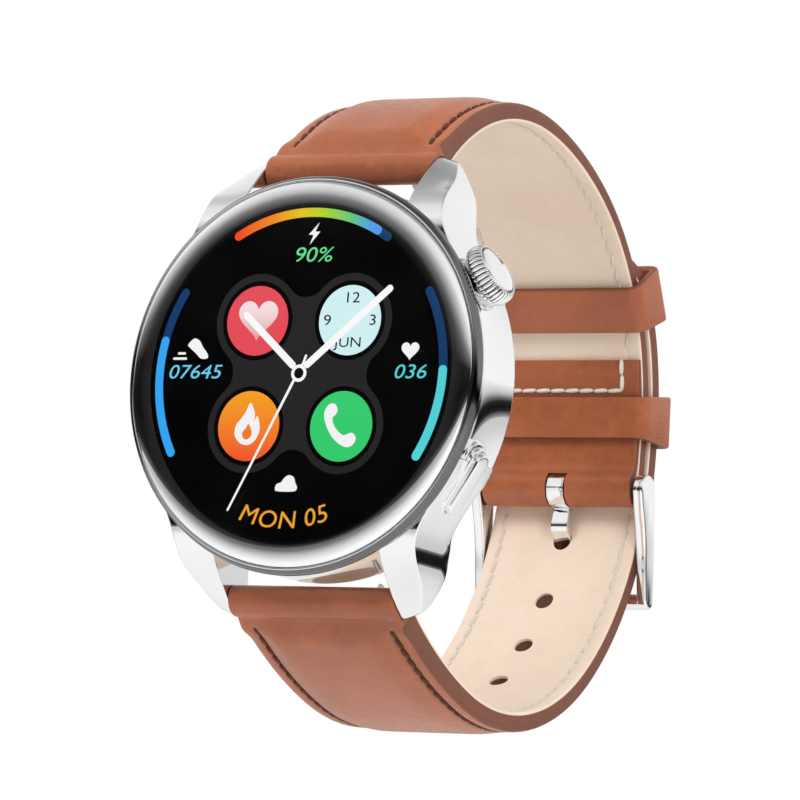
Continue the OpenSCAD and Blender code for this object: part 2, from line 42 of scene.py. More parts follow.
# The screen faces -Y, 12 o'clock is +Z and the crown is at +X. Shapes are worked
# out in millimetres and brought to metres when their object is made.

view = {"azimuth": 29.9, "elevation": -8.23, "roll": 4.72, "distance": 695.0,
        "target": (0, 18.8, 0), "offset": (-3.19, 1.92), "lens": 264.7}
studio = {"floorZ": -130, "floorSize": 1600, "floorColour": (0.86, 0.86, 0.86),
          "skyStops": [(0.0, 0.85), (0.40, 0.95), (0.5, 1.0), (0.60, 1.0), (0.78, 0.95), (0.90, 0.85),
                       (0.95, 0.42), (1.0, 0.28)],
          "bandStops": [(0.0, 0.008), (0.45, 0.02), (0.8, 0.2), (1.2, 0.6), (2.0, 1.0)],
          "front": (-0.1, -0.99, 0), "bandHalf": (0.075, 0.20), "bandMiddle": (0.0, 0.08),
          "turnover": (-0.35, 0.3)}
lamps = {"keyLight": {"at": (-260, -420, 420), "aim": (0, 15, 0), "size": (260, 260), "power": 1.5},
         "topLight": {"at": (60, 120, 520), "aim": (0, 30, 0), "size": (420, 300), "power": 1.0},
         "sideLight": {"at": (480, -260, 160), "aim": (0, 30, 0), "size": (200, 300), "power": 1.0}}


def makeCamera():
    az, el, roll = (math.radians(view[key]) for key in ("azimuth", "elevation", "roll"))
    back = Vector((math.sin(az) * math.cos(el), -math.cos(az) * math.cos(el), math.sin(el)))
    flat = Vector((math.cos(az), math.sin(az), 0))
    level = back.cross(flat)
    right = math.cos(roll) * flat + math.sin(roll) * level
    up = math.cos(roll) * level - math.sin(roll) * flat
    place = (Vector(view["target"]) + right * view["offset"][0] + up * view["offset"][1]
             + back * view["distance"])
    data = bpy.data.cameras.new("camera")
    data.lens = view["lens"]
    data.sensor_width = 36
    data.clip_start = 0.05
    data.clip_end = 20
    camera = bpy.data.objects.new("camera", data)
    camera.matrix_world = Matrix.Translation(place * mm) @ Matrix((right, up, back)).transposed().to_4x4()
    scene.collection.objects.link(camera)
    scene.camera = camera


makeCamera()
scene.view_settings.view_transform = "Standard"


# Materials: each is a short chain of nodes on Object coordinates or on the piece's own UV map.
def startMaterial(name, colour, roughness, metallic=0.0):
    material = bpy.data.materials.new(name)
    material.use_nodes = True
    tree = material.node_tree
    shader = tree.nodes["Principled BSDF"]
    shader.inputs["Base Color"].default_value = (*colour, 1)
    shader.inputs["Roughness"].default_value = roughness
    shader.inputs["Metallic"].default_value = metallic
    return material, tree, shader


def addNode(tree, kind, values=None, **settings):
    node = tree.nodes.new("ShaderNode" + kind)
    for key, value in settings.items():
        setattr(node, key, value)
    for key, value in (values or {}).items():
        node.inputs[key].default_value = value
    return node


def objectPoint(tree, stretch=(1, 1, 1)):
    place = addNode(tree, "TexCoord")
    shift = addNode(tree, "Mapping", {"Scale": stretch})
    tree.links.new(place.outputs["Object"], shift.inputs["Vector"])
    return shift.outputs["Vector"]


def ramp(tree, factor, stops):
    node = addNode(tree, "ValToRGB")
    band = node.color_ramp
    while len(band.elements) < len(stops):
        band.elements.new(0.5)
    for element, (place, colour) in zip(band.elements, stops):
        element.position = place
        element.color = (*colour, 1)
    tree.links.new(factor, node.inputs["Fac"])
    return node.outputs["Color"]


def greys(stops):
    return [(place, (value, value, value)) for place, value in stops]


def noise(tree, point, scale, detail=3.0, rough=0.5):
    node = addNode(tree, "TexNoise", {"Scale": scale, "Detail": detail, "Roughness": rough})
    tree.links.new(point, node.inputs["Vector"])
    return node.outputs["Fac"]


def cellEdges(tree, point, scale):
    node = addNode(tree, "TexVoronoi", {"Scale": scale}, feature="DISTANCE_TO_EDGE")
    tree.links.new(point, node.inputs["Vector"])
    return node.outputs["Distance"]


def combine(tree, operation, first, second):
    node = addNode(tree, "Math", operation=operation)
    for socket, value in zip(node.inputs, (first, second)):
        if isinstance(value, (int, float)):
            socket.default_value = value
        else:
            tree.links.new(value, socket)
    return node.outputs["Value"]


def addBump(tree, shader, height, strength, depth, softEdge=None):
    node = addNode(tree, "Bump", {"Strength": strength, "Distance": depth})
    tree.links.new(height, node.inputs["Height"])
    if softEdge:
        rounding = addNode(tree, "Bevel", {"Radius": softEdge}, samples=4)
        tree.links.new(rounding.outputs["Normal"], node.inputs["Normal"])
    tree.links.new(node.outputs["Normal"], shader.inputs["Normal"])


def metalMaterial(name, colour, low, high, grainScale=900, stretch=(1, 1, 1), softEdge=0.00012, bump=0.02):
    material, tree, shader = startMaterial(name, colour, low, 1.0)
    point = objectPoint(tree, stretch)
    grain = noise(tree, point, grainScale, 4)
    tree.links.new(ramp(tree, grain, greys([(0.3, low), (0.7, high)])), shader.inputs["Roughness"])
    broad = noise(tree, point, 60, 2)
    darker = tuple(part * 0.94 for part in colour)
    tree.links.new(ramp(tree, broad, [(0.35, darker), (0.65, colour)]), shader.inputs["Base Color"])
    addBump(tree, shader, grain, bump, 0.00002, softEdge)
    return material


def plasticMaterial(name, colour, roughness, grainScale=1500, bump=0.08, coat=0.0):
    material, tree, shader = startMaterial(name, colour, roughness)
    point = objectPoint(tree)
    grain = noise(tree, point, grainScale, 3)
    lighter = tuple(min(1, part * 1.25 + 0.004) for part in colour)
    tree.links.new(ramp(tree, noise(tree, point, 120, 2), [(0.3, colour), (0.7, lighter)]),
                   shader.inputs["Base Color"])
    shader.inputs["Coat Weight"].default_value = coat
    shader.inputs["Coat Roughness"].default_value = 0.04
    addBump(tree, shader, grain, bump, 0.00003, 0.0001)
    return material


leather = {"light": (0.425, 0.119, 0.042), "dark": (0.305, 0.080, 0.028), "edge": (0.20, 0.062, 0.028),
           "grainScale": 1500, "creaseScale": 420}


def leatherMaterial(name, light, dark, roughness, grain, strength, coat=0.0):
    material, tree, shader = startMaterial(name, light, roughness)
    point = objectPoint(tree)
    broad = noise(tree, point, 70, 4, 0.6)
    small = noise(tree, point, 900, 3)
    tone = combine(tree, "ADD", combine(tree, "MULTIPLY", broad, 0.75),
                   combine(tree, "MULTIPLY", small, 0.25))
    tree.links.new(ramp(tree, tone, [(0.36, dark), (0.6, light)]), shader.inputs["Base Color"])
    tree.links.new(ramp(tree, small, greys([(0.3, roughness - 0.06), (0.7, roughness + 0.08)])),
                   shader.inputs["Roughness"])
    pores = cellEdges(tree, point, grain)
    pits = combine(tree, "MINIMUM", combine(tree, "MULTIPLY", pores, 4.0), 0.5)
    creases = noise(tree, point, leather["creaseScale"], 5, 0.6)
    height = combine(tree, "ADD", pits, combine(tree, "MULTIPLY", creases, 0.9))
    addBump(tree, shader, height, strength, 0.00007)
    shader.inputs["Coat Weight"].default_value = coat
    shader.inputs["Coat Roughness"].default_value = 0.35
    return material


def threadMaterial(name, light, dark):
    material, tree, shader = startMaterial(name, light, 0.65)
    place = addNode(tree, "UVMap", uv_map="twist")
    wave = addNode(tree, "TexWave", {"Scale": 1.6, "Distortion": 0.4, "Detail": 1.0},
                   bands_direction="DIAGONAL")
    tree.links.new(place.outputs["UV"], wave.inputs["Vector"])
    # the colour darkens in the grooves of the twist: painted shade, over the bump of the same wave
    tree.links.new(ramp(tree, wave.outputs["Fac"], [(0.15, dark), (0.6, light)]), shader.inputs["Base Color"])
    addBump(tree, shader, wave.outputs["Fac"], 0.45, 0.00005)
    shader.inputs["Specular IOR Level"].default_value = 0.25
    return material


def litMaterial(name, stops, axis="Z", span=(-0.02, 0.02)):
    material, tree, shader = startMaterial(name, (0.0, 0.0, 0.0), 0.4)
    place = addNode(tree, "TexCoord")
    split = addNode(tree, "SeparateXYZ")
    tree.links.new(place.outputs["Object"], split.inputs["Vector"])
    along = addNode(tree, "MapRange", {"From Min": span[0], "From Max": span[1]})
    tree.links.new(split.outputs[axis], along.inputs["Value"])
    tree.links.new(ramp(tree, along.outputs["Result"], stops), shader.inputs["Emission Color"])
    shader.inputs["Emission Strength"].default_value = 1.0
    shader.inputs["Specular IOR Level"].default_value = 0.0
    return material


# where and how strongly metal is mixed into the glass's rim: painted reflection
glassRim = {"span": (0.0187, 0.0223), "stops": [(0.0, 0.0), (0.25, 0.02), (0.5, 0.22), (0.72, 0.65),
                                                (0.9, 0.97)]}


def glassMaterial(name, rimReflection=False):
    material, tree, shader = startMaterial(name, (1, 1, 1), 0.0)
    if rimReflection:
        # metal is mixed into the curved rim and fades out towards the picture: a painted reflection of the
        # glass's bright edge
        place = addNode(tree, "TexCoord")
        flat = addNode(tree, "VectorMath", operation="MULTIPLY")
        flat.inputs[1].default_value = (1, 0, 1)
        tree.links.new(place.outputs["Object"], flat.inputs[0])
        radius = addNode(tree, "VectorMath", operation="LENGTH")
        tree.links.new(flat.outputs["Vector"], radius.inputs[0])
        span = addNode(tree, "MapRange", {"From Min": glassRim["span"][0], "From Max": glassRim["span"][1]})
        tree.links.new(radius.outputs["Value"], span.inputs["Value"])
        tree.links.new(ramp(tree, span.outputs["Result"], greys(glassRim["stops"])),
                       shader.inputs["Metallic"])
        shader.inputs["Base Color"].default_value = (0.95, 0.95, 0.96, 1)
    shader.inputs["Transmission Weight"].default_value = 1.0
    shader.inputs["IOR"].default_value = 1.5
    smear = noise(tree, objectPoint(tree), 110, 3)
    tree.links.new(ramp(tree, smear, greys([(0.45, 0.0), (0.9, 0.02)])), shader.inputs["Roughness"])
    return material


polished = metalMaterial("polishedSteel", (0.90, 0.90, 0.91), 0.02, 0.06, bump=0.01)
# a darker steel for the bezel's outer slope: painted dark reflection
paintedReflectionSteel = metalMaterial("paintedReflectionSteel", (0.17, 0.17, 0.175), 0.03, 0.07, bump=0.01)
brushed = metalMaterial("brushedSteel", (0.62, 0.62, 0.63), 0.22, 0.42, 2500, (0.08, 1, 1), 0.00005, 0.2)
# a dark steel put in the gaps and hollows of the case, crown and button: painted shade
paintedShadeMetal = metalMaterial("paintedShadeGroove", (0.10, 0.10, 0.105), 0.25, 0.45)
gold = metalMaterial("goldContact", (0.86, 0.62, 0.24), 0.12, 0.3, softEdge=0.00008)
brassTube = metalMaterial("brass", (0.70, 0.52, 0.24), 0.2, 0.4, softEdge=0.00005)
tinned = metalMaterial("tinnedSteel", (0.66, 0.67, 0.68), 0.25, 0.45, 1200)
backGloss = plasticMaterial("backPlastic", (0.012, 0.012, 0.014), 0.22, 2600, 0.05, 0.6)
blackPlastic = plasticMaterial("blackPlastic", (0.03, 0.03, 0.033), 0.5)
blackSeal = plasticMaterial("blackSeal", (0.02, 0.02, 0.02), 0.6)
orangeSeal = plasticMaterial("orangeSeal", (0.6, 0.18, 0.03), 0.5)
switchPlastic = plasticMaterial("switchPlastic", (0.08, 0.08, 0.085), 0.45)
foil = plasticMaterial("cellFoil", (0.4, 0.41, 0.43), 0.35, 700, 0.3)
fillerFelt = plasticMaterial("filler", (0.5, 0.4, 0.26), 0.9, 2500, 0.8)
blackPrint = plasticMaterial("blackPrint", (0.003, 0.003, 0.003), 0.5)
panelBlack = plasticMaterial("panelBlack", (0.0005, 0.0005, 0.0006), 0.35, 900, 0.02)
panelBlack.node_tree.nodes["Principled BSDF"].inputs["Specular IOR Level"].default_value = 0.0
tan = leatherMaterial("tanLeather", leather["light"], leather["dark"], 0.38, leather["grainScale"], 0.5, 0.1)
tanEdge = leatherMaterial("leatherEdge", leather["edge"], tuple(c * 0.8 for c in leather["edge"]), 0.5,
                          leather["grainScale"], 0.35)
cream = leatherMaterial("creamLeather", (0.92, 0.765, 0.62), (0.86, 0.695, 0.545), 0.62, 3200, 0.25)
brownThread = threadMaterial("brownThread", (0.15, 0.052, 0.026), (0.05, 0.016, 0.009))
creamThread = threadMaterial("creamThread", (1.0, 0.97, 0.90), (0.74, 0.65, 0.53))
liningThread = threadMaterial("liningThread", (0.90, 0.84, 0.75), (0.60, 0.53, 0.44))
clearGlass = glassMaterial("coverGlass")
reflectionRimGlass = glassMaterial("reflectionRimGlass", True)


def boardMaterial():
    material, tree, shader = startMaterial("circuitBoard", (0.01, 0.12, 0.045), 0.35)
    point = objectPoint(tree)
    tracks = cellEdges(tree, point, 700)
    tree.links.new(ramp(tree, tracks, [(0.02, (0.03, 0.26, 0.09)), (0.06, (0.008, 0.10, 0.04))]),
                   shader.inputs["Base Color"])
    addBump(tree, shader, tracks, 0.2, 0.00003)
    return material


board = boardMaterial()
nodeMaterials = {
    "glass_gasket": blackSeal, "inner_frame": blackPlastic, "main_board": board, "shield_cans": tinned,
    "battery": foil, "vibration_motor": tinned, "speaker": blackPlastic, "crown_stem": brushed,
    "crown_tube": brassTube, "crown_seal": blackSeal, "crown_switch": switchPlastic, "button_stem": brushed,
    "button_clip": brushed, "button_seal": blackSeal, "button_switch": switchPlastic,
    "back_gasket": orangeSeal, "case_back": backGloss, "sensor_board": board, "charge_pins": gold,
    "back_screws": brushed, "top_bar_tube": brushed,
    "top_bar_pin": brushed, "bottom_bar_tube": brushed, "bottom_bar_pin": brushed, "buckle_bar_tube": brushed,
    "buckle_bar_pin": brushed, "short_pad": fillerFelt, "long_pad": fillerFelt}
for nodeName, material in nodeMaterials.items():
    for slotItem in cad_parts[nodeName].material_slots:
        slotItem.material = material
print("materials made")


# Shared ways of making a piece
def smooth(low, high, value):
    part = min(1, max(0, (value - low) / (high - low)))
    return part * part * (3 - 2 * part)


def finishPiece(name, bm, body, materials, sharp=32, stands=()):
    bmesh.ops.recalc_face_normals(bm, faces=bm.faces[:])
    bmesh.ops.scale(bm, vec=(mm, mm, mm), verts=bm.verts[:])
    mesh = bpy.data.meshes.new(name)
    bm.to_mesh(mesh)
    bm.free()
    for material in materials:
        mesh.materials.append(material)
    mesh.shade_smooth()
    mesh.set_sharp_from_angle(angle=math.radians(sharp))
    piece = bpy.data.objects.new(name, mesh)
    scene.collection.objects.link(piece)
    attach(piece, body)
    if stands:
        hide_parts(*stands)
    return piece


def loft(bm, rings, capped=True, materialIndex=0):
    # a grid with one row of points for each ring, bent into its place and closed round
    rows, cols = len(rings), len(rings[0]) + 1
    oldFaces = set(bm.faces)
    made = bmesh.ops.create_grid(bm, x_segments=cols - 1, y_segments=rows - 1, size=1)["verts"]
    for vert in made:
        col = round((vert.co.x + 1) / 2 * (cols - 1))
        row = round((vert.co.y + 1) / 2 * (rows - 1))
        vert.co = rings[row][col % len(rings[0])]
    bmesh.ops.remove_doubles(bm, verts=made, dist=1e-5)
    newFaces = [face for face in bm.faces if face not in oldFaces]
    if capped:
        edges = {edge for face in newFaces for edge in face.edges if edge.is_boundary}
        newFaces += bmesh.ops.holes_fill(bm, edges=list(edges), sides=0)["faces"]
    bmesh.ops.recalc_face_normals(bm, faces=newFaces)
    for face in newFaces:
        face.material_index = materialIndex
    return newFaces


def lathe(bm, profile, steps):
    # turns an (r, y) outline about the Y axis
    verts = [bm.verts.new((radius, y, 0)) for radius, y in profile]
    edges = [bm.edges.new(pair) for pair in zip(verts, verts[1:] + verts[:1])]
    before = set(bm.faces)
    bmesh.ops.spin(bm, geom=verts + edges, cent=(0, 0, 0), axis=(0, 1, 0), angle=2 * math.pi,
                   steps=steps, use_merge=True, use_duplicate=False)
    bmesh.ops.remove_doubles(bm, verts=bm.verts[:], dist=1e-4)
    newFaces = [face for face in bm.faces if face not in before]
    bmesh.ops.recalc_face_normals(bm, faces=newFaces)
    return newFaces


def arcPoints(centre, radius, start, end, steps):
    angles = [math.radians(start + (end - start) * i / steps) for i in range(steps + 1)]
    return [(centre[0] + radius * math.cos(a), centre[1] + radius * math.sin(a)) for a in angles]


def curvePoint(points, t):
    # Catmull-Rom, between the middle two of four points
    p0, p1, p2, p3 = (Vector(point) for point in points)
    return 0.5 * (2 * p1 + (p2 - p0) * t + (2 * p0 - 5 * p1 + 4 * p2 - p3) * t * t
                  + (3 * p1 - p0 - 3 * p2 + p3) * t ** 3)


def spline(points, steps):
    # a smooth curve through the points
    last = len(points) - 1
    out = []
    for i in range(last):
        near = [points[min(max(k, 0), last)] for k in (i - 1, i, i + 1, i + 2)]
        out += [curvePoint(near, j / steps) for j in range(steps)]
    return out + [Vector(points[-1])]


def flankMatrix(angle):
    # local X points out of the flank at this angle, local Y stays Y
    return Matrix.Rotation(-math.radians(angle), 4, "Y")


def fresh(obj):
    bpy.context.view_layer.update()
    return bpy.data.meshes.new_from_object(obj.evaluated_get(bpy.context.evaluated_depsgraph_get()))


# Case
# steps of a full turn, for the widest round pieces
roundSteps = 256
caseShape = {"waistR": 22.2, "rimR": 22.9, "frontY": -9.9, "backY": -1.2, "hollowR": 20.6, "seatR": 19.0,
             "seatDepth": 1.4, "lugIn": 11.0, "lugRoot": 9.5, "lugReach": 27.0, "lugStations": 60,
             "lugEdge": 0.1, "lugRound": 1.2, "lugSlant": 0.38}


def caseRound(bm):
    s = caseShape
    rimR, backY, seatY = s["rimR"], s["backY"], s["backY"] - s["seatDepth"]
    flank = []
    for i in range(33):
        t = i / 32
        flank.append((s["waistR"] + (rimR - s["waistR"]) * (2 * t - 1) ** 2,
                      s["frontY"] + (backY - 1 - s["frontY"]) * t))
    rounding = [(rimR - 0.1, backY - 0.7), (rimR - 0.35, backY - 0.38), (rimR - 0.8, backY - 0.15),
                (rimR - 1.4, backY)]
    seat = [(s["seatR"], backY), (s["seatR"], seatY), (s["hollowR"], seatY)]
    lathe(bm, [(s["hollowR"], s["frontY"])] + flank + rounding + seat, roundSteps)


def heightAt(curve, z):
    # the curve's first value where its second one is z
    for a, b in zip(curve, curve[1:]):
        if a[1] <= z <= b[1]:
            return a[0] + (b[0] - a[0]) * (z - a[1]) / max(1e-9, b[1] - a[1])
    return curve[-1][0] if z > curve[-1][1] else curve[0][0]


def lugRings():
    # cross sections of one lug from its root to its tip
    s = caseShape
    outer = spline([(21.2, 9.0), (20.2, 11.2), (19.0, 12.9), (17.6, 15.0), (16.45, 17.2), (15.85, 19.2),
                    (15.55, 21.3), (15.25, 23.0), (14.75, 24.8), (14.0, 26.2), (13.2, 27.0)], 8)
    front = spline([(-9.9, 8.0), (-9.9, 15.5), (-9.86, 17.6), (-9.45, 19.3), (-8.5, 20.9), (-7.2, 22.5),
                    (-5.8, 24.0), (-4.5, 25.3), (-3.2, 26.3), (-2.1, 26.95)], 8)
    backs = spline([(-1.2, 8.0), (-1.2, 16.5), (-0.55, 18.8), (-0.25, 21.0), (-0.25, 23.2), (-0.6, 25.2),
                    (-1.3, 26.4), (-2.2, 27.0)], 8)
    x0, sharp = s["lugIn"], s["lugEdge"]
    rings = []
    for i in range(s["lugStations"] + 1):
        z = s["lugRoot"] + (s["lugReach"] - 0.12 - s["lugRoot"]) * (i / s["lugStations"])
        x1, y0, y1 = heightAt(outer, z), heightAt(front, z), heightAt(backs, z)
        soft = min(s["lugRound"], (y1 - y0) * 0.3)
        ring = [(x0, y0 + sharp), (x0 + sharp, y0)]
        ring += [(x0 + sharp + (x1 - x0 - 2 * sharp) * k / 6, y0) for k in range(1, 7)]
        ring += [(x1, y0 + sharp + (y1 - y0 - sharp - soft) * k / 6) for k in range(7)]
        ring += arcPoints((x1 - soft, y1 - soft), soft, 30, 90, 2)
        ring += [(x0 + 0.3, y1), (x0, y1 - 0.3)]
        slant = s["lugSlant"] * smooth(20.5, 26.5, z)
        rings.append([Vector((x, y, z - slant * (x - x0))) for x, y in ring])
    return rings


def makeCase():
    bm = bmesh.new()
    caseRound(bm)
    rings = lugRings()
    for mirrorX in (1, -1):
        for mirrorZ in (1, -1):
            loft(bm, [[Vector((p.x * mirrorX, p.y, p.z * mirrorZ)) for p in ring] for ring in rings])
    # seat of the button, and a dark line round it: painted shade in the gap
    stadiumStack(bm, [(21.4, 0.5), (22.45, 0.5), (22.68, 0.42), (22.75, 0.28), (22.6, 0.2), (22.6, 0.1),
                      (22.0, 0.1)])
    stadiumStack(bm, [(22.3, 0.13), (22.62, 0.13), (22.62, 0.05), (22.3, 0.05)], materialIndex=1)
    # seat of the crown: a shallow polished cup
    turnedOnFlank(bm, [(0.0, 21.9), (3.0, 21.9), (3.35, 22.05), (3.35, 22.16), (3.1, 22.2), (3.05, 22.1),
                       (0.0, 22.1)])
    finishPiece("caseBody", bm, "watch", [polished, paintedShadeMetal], 28, ["case_body"])


buttonShape = {"length": 8.7, "width": 3.2, "y": -6.3, "angle": -30.5, "bow": 52, "arcSteps": 14}
crownShape = {"y": -6.3, "angle": 30, "steps": 96, "ribSteps": 8, "ribPower": 0.75, "paintedShadeShare": 0.42}


def stadiumStack(bm, levels, materialIndex=0):
    # rings of a long rounded bar on the flank; a level is (height out of the flank, growth)
    s = buttonShape
    turn = flankMatrix(s["angle"])
    half = (s["length"] - s["width"]) / 2
    rings = []
    for height, grow in levels:
        radius = max(0.02, s["width"] / 2 + grow)
        outline = arcPoints((0, half), radius, 0, 180, s["arcSteps"])
        outline += arcPoints((0, -half), radius, 180, 360, s["arcSteps"])
        rings.append([turn @ Vector((height - b * b / s["bow"], s["y"] + a, b)) for a, b in outline])
    loft(bm, rings, materialIndex=materialIndex)


def turnedOnFlank(bm, profile, ribs=None, materialIndex=0, hollow=False):
    # an (r, x) outline turned about the crown's own axis; ribs is (count, depth, from x, to x)
    s = crownShape
    turn = flankMatrix(s["angle"])
    total = ribs[0] * s["ribSteps"] if ribs else s["steps"]
    rings = []
    for radius, x in profile:
        ring = []
        for i in range(total):
            a = 2 * math.pi * i / total
            r = radius
            if ribs and ribs[2] <= x <= ribs[3]:
                r -= ribs[1] * (1 - abs(math.cos(a * ribs[0] / 2)) ** s["ribPower"])
            ring.append(turn @ Vector((x, s["y"] + r * math.cos(a), r * math.sin(a))))
        rings.append(ring)
    faces = loft(bm, rings + rings[:1] if hollow else rings, capped=not hollow, materialIndex=materialIndex)
    if ribs:
        # the bottoms of the flutes take the dark steel: painted shade
        back = turn.inverted()
        for face in faces:
            centre = back @ face.calc_center_median()
            phase = math.atan2(centre.z, centre.y - s["y"]) * ribs[0] / 2
            if ribs[2] < centre.x < ribs[3] and abs(math.cos(phase)) < s["paintedShadeShare"]:
                face.material_index = 1


def makeBezel():
    bm = bmesh.new()
    lathe(bm, [(22.33, -10.2), (22.33, -11.12), (22.38, -11.19), (22.46, -11.2), (22.6, -11.19),
               (22.78, -11.05), (22.95, -10.8), (23.05, -10.5), (23.1, -10.2), (23.1, -9.98), (23.06, -9.93),
               (22.15, -9.93), (22.15, -10.2)], roundSteps)
    # the slope outside the bright edge takes a darker steel: a painted dark reflection
    for face in bm.faces:
        centre = face.calc_center_median()
        if -11.17 < centre.y < -9.95 and math.hypot(centre.x, centre.z) > 22.55:
            face.material_index = 1
    finishPiece("bezelRing", bm, "watch", [polished, paintedReflectionSteel], 40, ["bezel_ring"])


glass = {"edgeR": 22.28, "rimWide": 3.6, "rimDeep": 0.9, "rimY": -11.1, "underY": -10.98, "printR": 19.7,
         "reflectionR": 18.7}


def makeGlass():
    bm = bmesh.new()
    g = glass
    rim = [math.radians(a) for a in range(0, 91, 3)]
    edge = [(g["edgeR"] - g["rimWide"] * (1 - math.sin(a)),
             g["rimY"] - g["rimDeep"] * math.cos(a)) for a in rim]
    top = [(0.0, -12.0), (6.0, -12.0), (12.0, -12.0)]
    under = [(22.25, -10.3), (20.95, -10.3)] + [(r, g["underY"]) for r in (20.95, 19.75, 8.0, 0.0)]
    for face in lathe(bm, top + edge + under, roundSteps):
        centre = face.calc_center_median()
        radius = math.hypot(centre.x, centre.z)
        if centre.y > g["underY"] - 0.01:
            face.material_index = 1 if radius > g["printR"] else 0
        # outside this radius the front of the rim takes the painted reflection
        elif radius > g["reflectionR"]:
            face.material_index = 2
    finishPiece("coverGlass", bm, "watch", [clearGlass, blackPrint, reflectionRimGlass], 40,
                ["cover_glass"])


def makeCrown():
    bm = bmesh.new()
    # head: ribbed barrel, with a polished disc in its end inside a groove of painted shade
    turnedOnFlank(bm, [(2.1, 23.3), (2.1, 23.17), (3.0, 23.17), (3.3, 23.25), (3.52, 23.45), (3.64, 23.75),
                       (3.66, 24.2), (3.62, 24.65), (3.5, 24.95), (3.3, 25.2), (3.12, 25.33), (3.02, 25.3),
                       (2.98, 25.0)], ribs=(38, 0.26, 23.2, 25.25))
    turnedOnFlank(bm, [(0.0, 24.9), (2.97, 24.9), (2.97, 25.03), (0.0, 25.03)], materialIndex=1)
    turnedOnFlank(bm, [(0.0, 24.95), (2.74, 24.95), (2.74, 25.31), (2.66, 25.38), (1.4, 25.42), (0.0, 25.42)])
    # neck: a fluted ring and a sleeve in painted shade, open round the tube and its seal
    turnedOnFlank(bm, [(2.42, 22.72), (2.75, 22.72), (2.88, 22.77), (2.92, 22.88), (2.88, 22.99),
                       (2.75, 23.04),
                       (2.42, 23.04)], ribs=(26, 0.22, 22.76, 23.0), hollow=True)
    turnedOnFlank(bm, [(2.1, 22.74), (2.4, 22.74), (2.4, 23.2), (2.1, 23.2)], materialIndex=1, hollow=True)
    finishPiece("crownHead", bm, "crown", [polished, paintedShadeMetal], 50, ["crown_head"])


def makeButton():
    bm = bmesh.new()
    stadiumStack(bm, [(21.7, -0.02), (23.05, -0.02), (23.25, -0.08), (23.33, -0.2), (23.33, -0.3),
                      (23.2, -0.34)])
    # a dark line between the collar and the cap: painted shade in the gap
    stadiumStack(bm, [(23.1, -0.33), (23.23, -0.33), (23.23, -0.4), (23.1, -0.4)], materialIndex=1)
    stadiumStack(bm, [(22.6, -0.42), (23.75, -0.42), (23.93, -0.47), (24.03, -0.6), (24.07, -0.8),
                      (24.09, -1.2), (24.1, -1.55)])
    finishPiece("buttonCap", bm, "button", [polished, paintedShadeMetal], 30, ["button_cap"])


def makeWindow():
    bm = bmesh.new()
    lathe(bm, [(0.0, -1.4), (8.5, -1.4), (8.58, -1.3), (8.58, -0.3), (8.5, -0.15), (8.3, -0.05), (8.0, 0.0),
               (4.0, 0.0), (0.0, 0.0)], 128)
    finishPiece("sensorWindow", bm, "watch", [darkWindow()], 40, ["sensor_window"])


def darkWindow():
    # four lamps and a round eye show faintly under dark glass
    material, tree, shader = startMaterial("sensorGlass", (0.01, 0.01, 0.012), 0.06)
    shader.inputs["Coat Weight"].default_value = 0.5
    place = addNode(tree, "TexCoord")
    total = None
    for x, z, radius in ((-3, 0, 0.0011), (3, 0, 0.0011), (0, -3.2, 0.0011), (0, 3.2, 0.0011),
                         (0, 0, 0.0015)):
        away = addNode(tree, "VectorMath", operation="DISTANCE")
        away.inputs[1].default_value = (x * mm, 0, z * mm)
        tree.links.new(place.outputs["Object"], away.inputs[0])
        inside = combine(tree, "LESS_THAN", away.outputs["Value"], radius)
        total = inside if total is None else combine(tree, "ADD", total, inside)
    tree.links.new(ramp(tree, total, [(0.4, (0.008, 0.008, 0.009)), (0.6, (0.09, 0.10, 0.08))]),
                   shader.inputs["Base Color"])
    return material


makeCase()
makeBezel()
makeGlass()
makeCrown()
makeButton()
makeWindow()
print("case, glass, crown and button made")


# Screen picture
screen = {"frontY": -10.88, "step": 0.018, "thick": 0.012, "discR": 4.05, "discRim": 0.55, "discAt": 6.1,
          "arcR": 18.65, "arcWidth": 1.05, "textLean": 0.2, "textWide": 1.25, "lobeR": 5.45, "lobeWaist": 8.8}
dialLooks = {
    "clover": [(0, (0.018, 0.018, 0.019)), (1, (0.024, 0.024, 0.025))],
    "cloverRing": [(0, (0.001, 0.001, 0.001)), (1, (0.002, 0.002, 0.002))],
    "redDisc": [(0, (0.80, 0.05, 0.08)), (1, (0.86, 0.10, 0.13))],
    "paleDisc": [(0, (0.62, 0.93, 0.95)), (1, (0.72, 0.95, 0.97))],
    "fire": [(0, (0.95, 0.10, 0.03)), (1, (0.98, 0.38, 0.02))],
    "callDisc": [(0, (0.03, 0.60, 0.15)), (1, (0.06, 0.72, 0.20))],
    "white": [(0, (0.95, 0.95, 0.95)), (1, (1.0, 1.0, 1.0))],
    "heart": [(0, (0.78, 0.33, 0.36)), (1, (0.98, 0.80, 0.80))],
    "black": [(0, (0.004, 0.004, 0.004)), (1, (0.01, 0.01, 0.01))],
    "charge": [(0, (0.93, 0.07, 0.02)), (0.24, (0.95, 0.27, 0.02)), (0.45, (0.85, 0.60, 0.02)),
               (0.62, (0.42, 0.72, 0.03)), (0.80, (0.15, 0.62, 0.20)), (0.93, (0.08, 0.42, 0.80)),
               (1, (0.10, 0.35, 0.90))],
    "deepBlue": [(0, (0.008, 0.04, 0.13)), (1, (0.01, 0.055, 0.17))],
    "lightBlue": [(0, (0.03, 0.42, 0.98)), (1, (0.05, 0.38, 0.95))],
    "cyan": [(0, (0.10, 0.72, 0.75)), (1, (0.08, 0.66, 0.70))],
    "green": [(0, (0.10, 0.72, 0.25)), (1, (0.14, 0.80, 0.30))],
    "orange": [(0, (0.90, 0.38, 0.03)), (1, (0.95, 0.45, 0.05))],
    "skyText": [(0, (0.14, 0.58, 0.85)), (1, (0.20, 0.66, 0.92))]}
